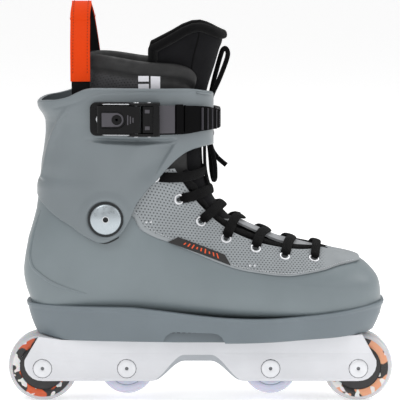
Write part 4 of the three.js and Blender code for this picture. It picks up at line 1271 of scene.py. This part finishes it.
def cuff():
    outer, inner = [], []
    for angle in cuff_angles(CUFF_COLUMNS):
        at = cuff_point(angle, 165, 0)
        bottom, top = cuff_low(at.x) - front_dip(at), cuff_top(at.x) - front_dip(at)
        row, back = [], []
        for t in steps(0, 1, CUFF_ROWS):
            h = mix(bottom, top, t)
            p = cuff_point(angle, h, 0)
            edge = min(h - bottom, top - h)
            soft = 0.9 * (1 - clamp(edge / 1.6)) ** 2
            row.append(cuff_point(angle, h, soft - cuff_detail(p.x, h)))
            back.append(cuff_point(angle, h, CUFF_WALL))
        outer.append(row)
        inner.append(back)
    piece = build("cuff_shell", panel(outer, inner), CUFF, body="cuff", angle=55)
    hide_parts("cuff")
    for side, word in SIDES:
        # painted shadow: a near-black strip just below the cuff at the back, for the shade in the gap
        # between the cuff and the shell
        grids = []
        for inset in (0.7, 2.9):
            rows = []
            for a in steps(1.6, 3.0, 140):
                edge = cuff_low(cuff_point(side * a, 130, 0).x)
                wide = 1.5 * smooth(a, 1.6, 1.85)
                rows.append([cuff_point(side * a, h, inset) for h in (edge - wide, edge + 1.2)])
            grids.append(rows)
        gap_shadow = build(f"cuff_gap_shadow_{word}", panel(*grids), GAP_SHADE, body="cuff")
        bead = [cuff_point(side * a, 206.2 - front_dip(cuff_point(side * a, 206, 0)), -0.6)
                for a in steps(0.3, 0.72, 12)]
        bead = tube(bead, 1.8, 1.8, [Vector((0, side, 0))] * 13, 10, 0.1)
        tab = build(f"cuff_tab_{word}", bead, CUFF, body="cuff")


def pivots():
    """Broad caps with a bevelled rim, a dark ring round them and a hex socket."""
    cap_profile = [(2.3, 2.5), (11.2, 1.7), (12.2, 1.2), (12.5, 0.6), (12.5, -1), (2.3, -1)]
    ring_profile = [(12.8, -1.0), (14.4, -1.0), (14.4, -0.2), (12.8, -0.2)]
    rim_profile = [(2.2, 2.0), (2.9, 2.0), (2.9, 2.8), (2.2, 2.8)]
    for side, word in SIDES:
        y = side * CUFF_HALF
        centre = (PIVOT_X, y, PIVOT_Z)
        cap = build(f"pivot_cap_{word}", turned_out(cap_profile, side, centre, 72), CAP)
        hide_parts(f"pivot_screw_{word}")
        build(f"pivot_shadow_{word}", turned_out(ring_profile, side, centre, 72), GAP_SHADE, body="cuff")
        # painted shade: the hex socket at the bottom of the cap's hole is near-black, for the shade in it
        socket = side_prism(hexagon(PIVOT_X, PIVOT_Z, 2.3), *sorted((y - side * 1.0, y + side * 0.9)))
        build(f"pivot_socket_{word}", socket, GAP_SHADE)
        build(f"pivot_socket_rim_{word}", turned_out(rim_profile, side, centre, 24), STEEL)


# ---- buckle and strap ----
LEVER_SCREW_X = -66.8


def slot_outline(x, half):
    """The outline of a slot from x to the lever's screw, with its front end round."""
    end = [(LEVER_SCREW_X + half * math.cos(a), BUCKLE_Z + half * math.sin(a))
           for a in steps(-math.pi / 2, math.pi / 2, 20)]
    return [(x, BUCKLE_Z - half)] + end + [(x, BUCKLE_Z + half)]


def buckle():
    """A plate with two rails and a bridge, the lever on its pin, and the catch behind it."""
    x0, x1 = span("buckle_base", 0)
    z0, z1 = span("buckle_base", 2)
    pin_x, pin_y, _ = middle("lever_pin")
    face = BUCKLE_FACE
    plate = build("buckle_plate", side_prism(rounded(x0, pin_x, z0, z1, 5), face - 2.2, face), BLACK,
                  "cuff", bevel=0.6)
    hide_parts("buckle_base")
    outline = [(pin_x - 9, face), (pin_x - 7, face - 8), (pin_x - 3, face - 10), (x1 - 2, face - 10),
               (x1, face - 8), (x1, face)]
    rails = [plan_prism(outline, z, z + 2.2) for z in (z0, z1 - 2.2)]
    build("buckle_rails", joined(rails), BLACK, "cuff", bevel=0.5)
    build("buckle_bridge", block(x1 - 5.5, x1 - 0.4, face - 10, face - 7.6, z0 + 1, z1 - 1), BLACK,
          "cuff", bevel=0.7)
    pin_ends = []
    for z in (z0 - 0.5, z1 - 0.7):
        pin_ends.append(turned([(0.1, 0), (2.1, 0), (2.3, 0.3), (2.3, 0.9), (2.1, 1.2), (0.1, 1.2)],
                               (pin_x, pin_y, z), 24, "Z"))
        pin_ends.append(turned([(0.1, 0), (1.4, 0), (1.5, 0.3), (1.5, 0.9), (1.4, 1.2), (0.1, 1.2)],
                               (pin_x + 10.4, pin_y - 0.5, z), 20, "Z"))
    build("buckle_pin_ends", joined(pin_ends), STEEL, "cuff")
    wires = []
    for z in (z0 + 1.2, z1 - 1.2):
        line = line_through([(x0 + 10, face - 6.5, z), (x0 + 20, face - 7.2, z),
                             (pin_x - 4, face - 8.6, z)], 12)
        wires.append(tube(line, 1.0, 1.0, [Vector((0, 1, 0))] * 13, 8, 0.1))
    build("buckle_edge_wires", joined(wires), STEEL, "cuff")

    profile = [(pin_x + 3.0, pin_y + 1.4), (pin_x + 3.2, pin_y - 2.3), (pin_x + 1, pin_y - 3.6),
               (pin_x - 2, pin_y - 4), (-66, pin_y - 3.5), (-78, pin_y - 2.6), (-81.5, pin_y - 1.2),
               (-82.6, pin_y + 0.5), (-81, pin_y + 2), (-60, pin_y + 1.4), (pin_x - 2, pin_y + 2.8)]
    lever = build("lever", plan_prism(profile, *span("buckle_lever", 2)), BLACK, "lever")
    carve(lever, side_prism(slot_outline(-79.5, 7.2), pin_y - 6, pin_y - 1.6))
    soften(lever, 0.5)
    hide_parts("buckle_lever")
    build("lever_insert", side_prism(slot_outline(-78.8, 5.6), pin_y - 2.4, pin_y - 1.2), DARK, "lever",
          bevel=0.3)
    screw_at = (LEVER_SCREW_X, pin_y + 0.2, BUCKLE_Z)
    screw = [(1.3, -0.4), (3.6, -0.4), (4.1, -1.0), (4.1, -2.6), (3.6, -3.0), (1.3, -3.0), (1.1, -1.6)]
    build("lever_screw", turned(screw, screw_at, 40), BLACK, "lever")
    # painted shade: the screw's socket is near-black, for the shade in it
    socket = [(0.05, -2.6), (1.3, -2.6), (1.3, -2.0), (0.05, -2.0)]
    build("lever_screw_socket", turned(socket, screw_at, 6), GAP_SHADE, "lever")
    ribs = [block(-58.4 + i * 2.1, -57.4 + i * 2.1, pin_y - 4.2, pin_y - 3.4, BUCKLE_Z - 4 + i,
                  BUCKLE_Z + 4 - i) for i in range(3)]
    build("lever_grip_marks", joined(ribs), DARK, "lever", bevel=0.2)

    px0, px1 = span("pawl", 0)
    body = plan_prism([(px1, pin_y - 1.5), (px0, pin_y - 1.5), (px0, pin_y + 0.5), (px0 + 1.4, pin_y + 2),
                       (px0 + 2.6, pin_y + 0.6), (px1, pin_y + 0.6)], *span("pawl", 2))
    pawl = build("pawl_catch", body, BLACK, "pawl", bevel=0.4)
    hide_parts("pawl")
    windows = []
    for s in (-1, 1):
        z = BUCKLE_Z + s * 6.7
        windows.append(block(px0 + 1.6, px0 + 5.6, pin_y - 1.9, pin_y - 1.2, z - 1.5, z + 1.5))
    build("pawl_windows", joined(windows), DARK, "pawl", bevel=0.3)


def band(angles, near, far, z_low, z_high):
    """A band round the front of the cuff: z_low and z_high take x. Returns a closed slab."""
    outer, inner = [], []
    for a in angles:
        rows = []
        for out in (far(a), near):
            p = cuff_point(a, BUCKLE_H, -out)
            rows.append([Vector((p.x, p.y, z)) for z in steps(z_low(p), z_high(p), 8)])
        outer.append(rows[0])
        inner.append(rows[1])
    return panel(outer, inner)


STRAP_OUT = 4.4
STRAP_RIB = 3.1  # pitch of the strap's ribs


def strap():
    z0, z1 = span("strap", 2)

    def ribbed(a):
        p = cuff_point(a, BUCKLE_H, 0)
        along = p.x if p.y < 0 else 12 + (48 - p.y)
        zone = smooth(p.x, -2, 0)
        wave = 0.5 + 0.5 * math.cos(2 * math.pi * (along + abs(p.y) * 0.9) / STRAP_RIB)
        return 4.5 + 1.3 * zone * wave

    def narrow(p):
        """The strap's upper edge comes down towards the inner side."""
        return 6.5 * smooth(p.y, -50, -8)

    def wrap(name, angles, near, far, below, above, look, bevel):
        """A plain band round the strap."""
        piece = build(name, band(angles, near, lambda _: far, lambda _: z0 - below,
                                 lambda _: z1 + above), look, "strap", bevel=bevel)
        return piece

    fine = steps(-1.47, 1.3, 420)
    shape = band(fine, 1.5, ribbed, lambda p: z0 - 2.2 * (1 - smooth(p.x, -16, 8)),
                 lambda p: z1 - narrow(p))
    piece = build("strap_band", shape, STRAP, "strap", angle=50, bevel=0.4)
    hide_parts("strap")
    wrap("strap_panel", steps(-1.31, -1.13, 24), 4.6, 6.2, 0.9, 0.5, DARK, 0.5)
    keeper = wrap("strap_keeper", steps(-1.12, -1.03, 14), 4.6, 6.9, 1.4, 1.2, STRAP, 0.6)
    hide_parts("strap_sleeve")
    ribs = []
    for target in (-2.5, 1.2, 4.6, 7.6, 10.2):
        a = min(fine, key=lambda v: abs(cuff_point(v, BUCKLE_H, 0).x - target) + (v > 0) * 99)
        ribs.append(band(steps(a - 0.004, a + 0.004, 2), STRAP_OUT, lambda _: 6.0, lambda p: z0 + 0.6,
                         lambda p: z1 - 1.4 - narrow(p)))
    build("strap_ribs", joined(ribs), DARK, "strap")
    wrap("strap_keeper_edge", steps(-1.0, -0.985, 4), STRAP_OUT, 5.9, 0.5, 0.4, STRAP, 0.3)


# ---- pull loop and badge ----
def pull_loop():
    """A black band over the back of the cuff, with an orange face on its upper part."""
    x0, x1 = span("pull_loop", 0)
    top = high("pull_loop")[2]
    last = 160
    foot, bend, thick = 32.5, 20, 2.0
    up = [(foot, SOLE + 190), (foot, SOLE + 200), (foot - 0.6, SOLE + 224), (foot - 4, SOLE + 244)]
    over = [(bend * math.cos(math.radians(a)), top - bend + bend * math.sin(math.radians(a)))
            for a in steps(12, 168, 24)]
    route = up + over + [(-y, z) for y, z in up[::-1]]
    line = line_through([(0, y, z) for y, z in route], last)

    def strip(start, end, out, x_near, x_far):
        points = line[start:end + 1]
        grids = []
        for depth in (out, out - thick * 0.55):
            rows = []
            for i, p in enumerate(points):
                a, b = points[max(i - 1, 0)], points[min(i + 1, len(points) - 1)]
                along = (b - a).normalized()
                normal = Vector((0, along.z, -along.y))
                if (normal.y * p.y if abs(p.y) > 12 else normal.z) < 0:
                    normal = -normal
                wave = 0.4 * math.sin(i * 0.09) + 0.13 * smooth(p.y, -12, 20) * min(top - p.z, 46)
                rows.append([Vector((x + wave, p.y, p.z)) + normal * depth
                             for x in steps(x_near, x_far, 8)])
            grids.append(rows)
        return panel(*grids)

    body = build("pull_loop_band", strip(0, last, -0.6, x0 + 0.6, x1 - 0.6), BLACK_BAND, "cuff",
                 bevel=0.25)
    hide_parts("pull_loop")
    first = next(i for i, p in enumerate(line) if p.z > SOLE + 213)
    face = build("pull_loop_face", strip(first, last - first, 0.5, x0, x1), ORANGE, "cuff", bevel=0.25)
    for tag, x in (("rear", x0 + 2.2), ("front", x1 - 2.2)):
        edge = []
        for p in line[first + 1:last - first]:
            out = Vector((0, p.y, max(0, p.z - top + bend))).normalized()
            edge.append(Vector((x, p.y, p.z)) + out * 0.75)
        build(f"pull_loop_stitches_{tag}", dashes(edge, 2.6, 1.5, 0.5), DARK_THREAD, "cuff")


BADGE_BASE = 1.6  # from the outer skin's face to the surface the badge is laid on


def badge():
    """A dark plate on the skin, with nine plain marks of three heights in a row."""
    (ax, ah), (bx, bh), (cx, ch), (dx, dh) = (-26.2, 84.5), (-17.8, 88.4), (19.9, 74.2), (24.6, 66.2)

    def plate(us, vs, out, under):
        spots = [[(mix(mix(ax, dx, u), mix(bx, cx, u), v), mix(mix(ah, dh, u), mix(bh, ch, u), v))
                  for v in vs] for u in us]
        return panel(*(laid(skin_form, spots, d - BADGE_BASE) for d in (out, under)))

    piece = build("badge_plate", plate(steps(0, 1, 40), steps(0, 1, 8), 1.7, -0.4), BADGE, bevel=0.3)
    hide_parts("badge")
    marks = []
    for i in range(9):
        u = 0.2 + i * 0.075
        tall = 0.28 + 0.12 * (i % 3)
        marks.append(plate([u, u + 0.012, u + 0.024], [0.5 - tall / 2, 0.5, 0.5 + tall / 2], 1.95, 1.3))
    build("badge_marks", joined(marks), MARK)


# ---- frame and wheels ----
ARCH_X = -2.3
ARCH_RISE = 16.7
ARCH_REACH = 44  # half the length of the cut along the arch


def arch_height(x):
    """Height of the arch's edge above the frame's foot."""
    d = abs(x - ARCH_X)
    t = clamp((38 - d) / 27)
    return ARCH_RISE * t * t * (3 - 2 * t)


def frame_body():
    """The CAD frame itself, with a chamfer cut along its arch and rounded edges; its downward faces along
    the arch take a darker grey as painted shade.
    """
    piece = in_scene("frame_body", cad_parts["frame"].data.copy())
    piece.data.materials.clear()
    piece.data.materials.append(WHITE)
    for side, _ in SIDES:
        rings = []
        for x in steps(ARCH_X - ARCH_REACH, ARCH_X + ARCH_REACH, 56):
            z = FRAME_FOOT + arch_height(x)
            y = side * FRAME_HALF
            size = 0.6 + 3.2 * arch_height(x) / ARCH_RISE
            rings.append([Vector((x, y + side * out, z + up)) for out, up in (
                (3, -4), (-size, -4), (-size, -0.5), (0.02, size * 1.5), (3, size * 1.5))])
        carve(piece, loft(rings))
    soften(piece, 0.7)
    shade(piece, 40)
    piece.data.materials.append(ARCH_UNDERSIDE_SHADE)
    # painted shade: faces turned downwards along the arch get the darker grey, for the shade on them
    for face in piece.data.polygons:
        x, _, z = face.center / MM
        if face.normal.z < -0.2 and abs(x - ARCH_X) < 42 and FRAME_FOOT < z < FRAME_FOOT + 24:
            face.material_index = 1
    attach(piece, "root")
    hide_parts("frame")


def screw_heads(name):
    """The axle's two heads in their seats, each with a hex socket, and the rod between them."""
    x, _, z = middle(f"{name}_axle_screw")
    # painted shadow: a near-black ring in each head's seat, for the shade round the head
    seat = [(7.4, -2.4), (8.3, -2.4), (8.3, -0.5), (7.4, -0.5)]
    profile = [(1.5, -0.2), (6.9, 0.5), (7.4, 0.3), (7.7, -0.2), (7.7, -2.6), (1.5, -2.6)]
    for (side, word), node in zip(SIDES, ("axle_screw", "axle_nut")):
        y = side * FRAME_HALF
        build(f"{name}_seat_shadow_ring_{word}", turned_out(seat, side, (x, y, z), 48), GAP_SHADE)
        head = build(f"{name}_head_{word}", turned_out(profile, side, (x, y, z), 48), ALLOY)
        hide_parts(f"{name}_{node}")
        build(f"{name}_socket_{word}", side_prism(hexagon(x, z, 1.6),
                                                  *sorted((y - side * 2.4, y - side * 0.9))), SOCKET)
    rod = turned([(0.05, -15.9), (3.8, -15.9), (3.8, 15.9), (0.05, 15.9)], (x, 0, z), 32)
    build(f"{name}_axle_rod", rod, STEEL)


LARGE_RADIUS = 25  # wheels above this are the large ones
WHEEL_HALF = 12  # half a wheel's width
PRINT_EDGE = 3.6  # from the tread in to the edge of the printed core


def wheel(name, index):
    """A tyre, a core and two bearing races; the large ones have a print inside the tyre."""
    x, _, z = middle(f"{name}_tyre")
    radius = (high(f"{name}_tyre")[2] - low(f"{name}_tyre")[2]) / 2
    large = radius > LARGE_RADIUS
    body = f"{name}_wheel"
    look = core_look = MILK
    if large:
        look = urethane(f"{name}_urethane", rgb(196, 197, 200), radius - PRINT_EDGE, 0.37 * index,
                        index == 3)
        core_look = plastic(f"{name}_core_plastic", rgb(40, 38, 38), 0.4)
    core = radius * 0.66
    half = WHEEL_HALF
    flank = [(core, half - 0.4), (core + 1, half), (radius * 0.87, half), (radius * 0.92, half - 0.5),
             (radius * 0.96, half - 1.8), (radius * 0.985, half - 3.6), (radius * 0.998, half - 5.8),
             (radius, 3)]
    profile = [(r, -y) for r, y in flank] + flank[::-1]
    tyre = build(f"{name}_tread", turned(profile, (0, 0, 0), 96), look)
    place_wheel(tyre, x, z, body)
    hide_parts(f"{name}_tyre")
    rim = [(11.3, -half + 0.2), (core - 1.5, -half + 0.2), (core - 0.2, -half + 0.8),
           (core - 0.2, half - 0.8), (core - 1.5, half - 0.2), (11.3, half - 0.2), (11.3, half - 7),
           (9, half - 7), (9, -half + 7), (11.3, -half + 7)]
    hub = build(f"{name}_core", turned(rim, (0, 0, 0), 72), core_look)
    place_wheel(hub, x, z, body)
    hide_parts(f"{name}_hub")
    outline = [(4.2, -3.5), (11, -3.5), (11, 3.3), (10.8, 3.5), (9.6, 3.5), (9.4, 2.9), (6.3, 2.9),
               (6.1, 3.5), (4.4, 3.5), (4.2, 3.3)]
    for side, word in SIDES:
        race = build(f"{name}_bearing_{word}_race",
                     turned_out(outline, side, (0, side * (half - 3.5), 0), 48), STEEL)
        place_wheel(race, x, z, body)
        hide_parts(f"{name}_bearing_{word}")


def place_wheel(piece, x, z, body):
    """The mesh is made round the origin, so that its material turns with it."""
    piece.location = (x * MM, 0, z * MM)
    bpy.context.view_layer.update()
    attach(piece, body)


def plain_nodes():
    """CAD nodes whose own shape shows, with better materials."""
    for name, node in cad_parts.items():
        if any(key in name for key in ("mount_", "spacer", "pivot_nut", "lever_pin", "buckle_screw")):
            node.data.materials.clear()
            node.data.materials.append(STEEL)


# ---- camera, floor and light ----
CAMERA_AIM = (-0.33, 0, 167.2)
CAMERA_RISE = 7.8  # degrees above the floor
CAMERA_DISTANCE = 1.898
LENS = 206.7
FLOOR_HALF = 40
SKY = 0.62
# name, place, watts, width
LAMPS = (("key", (-0.7, -1.5, 1.5), 9, 0.9), ("fill", (1.4, -1.1, 0.9), 3.5, 1.2),
         ("top", (0.1, 0.5, 1.9), 12, 1.3), ("front", (1.3, 0.2, 0.9), 4, 0.8))
LAMPS_AIM = (0, 0, 0.15)


def pointed(thing, place, aim):
    """Places a camera or a lamp and points it."""
    thing.location = place
    thing.rotation_euler = (Vector(aim) - Vector(place)).to_track_quat("-Z", "Y").to_euler()


def studio():
    bpy.context.scene.view_settings.view_transform = "Standard"
    data = bpy.data.cameras.new("camera")
    data.sensor_width = 36
    data.lens = LENS
    camera = in_scene("camera", data)
    aim, rise = Vector(CAMERA_AIM) * MM, math.radians(CAMERA_RISE)
    camera.location = aim + Vector((0, -math.cos(rise), math.sin(rise))) * CAMERA_DISTANCE
    camera.rotation_euler = (aim - camera.location).to_track_quat("-Z", "Y").to_euler()
    bpy.context.scene.camera = camera

    floor_mesh = bpy.data.meshes.new("floor")
    corners = [(x * FLOOR_HALF, y * FLOOR_HALF, 0) for x, y in ((-1, -1), (1, -1), (1, 1), (-1, 1))]
    floor_mesh.from_pydata(corners, [], [(0, 1, 2, 3)])
    floor = in_scene("floor", floor_mesh)
    look = Look("floor_paper", (0.93, 0.93, 0.93, 1), 0.8)
    look.set("Emission Color", (1, 1, 1, 1))
    look.set("Emission Strength", 0.38)
    look.bump(look.noise(300, 3), 0.02, 0.0003)
    floor_mesh.materials.append(look.material)

    world = bpy.data.worlds.new("studio")
    bpy.context.scene.world = world
    world.use_nodes = True
    sky = world.node_tree.nodes["Background"].inputs
    sky[0].default_value = (1, 1, 1, 1)
    sky[1].default_value = SKY
    for name, place, watts, width in LAMPS:
        data = bpy.data.lights.new(name, "AREA")
        data.energy = watts
        data.size = width
        pointed(in_scene(name, data), place, LAMPS_AIM)


studio()
lace_cord("lace_bow_upper", "lace_loop_upper", UPPER_LOOP, 80)
lace_cord("lace_bow_lower", "lace_loop_lower", LOWER_LOOP, 80)
lace_cord("lace_tip", "lace_end", LACE_END, 40)
boot_shell()
skin()
eyelets()
laces()
tongue()
liner()
lower_liner()
footbed()
sole_plate()
cuff()
pivots()
buckle()
strap()
pull_loop()
badge()
frame_body()
for index, name in enumerate(WHEELS):
    wheel(name, index)
    screw_heads(name)
plain_nodes()
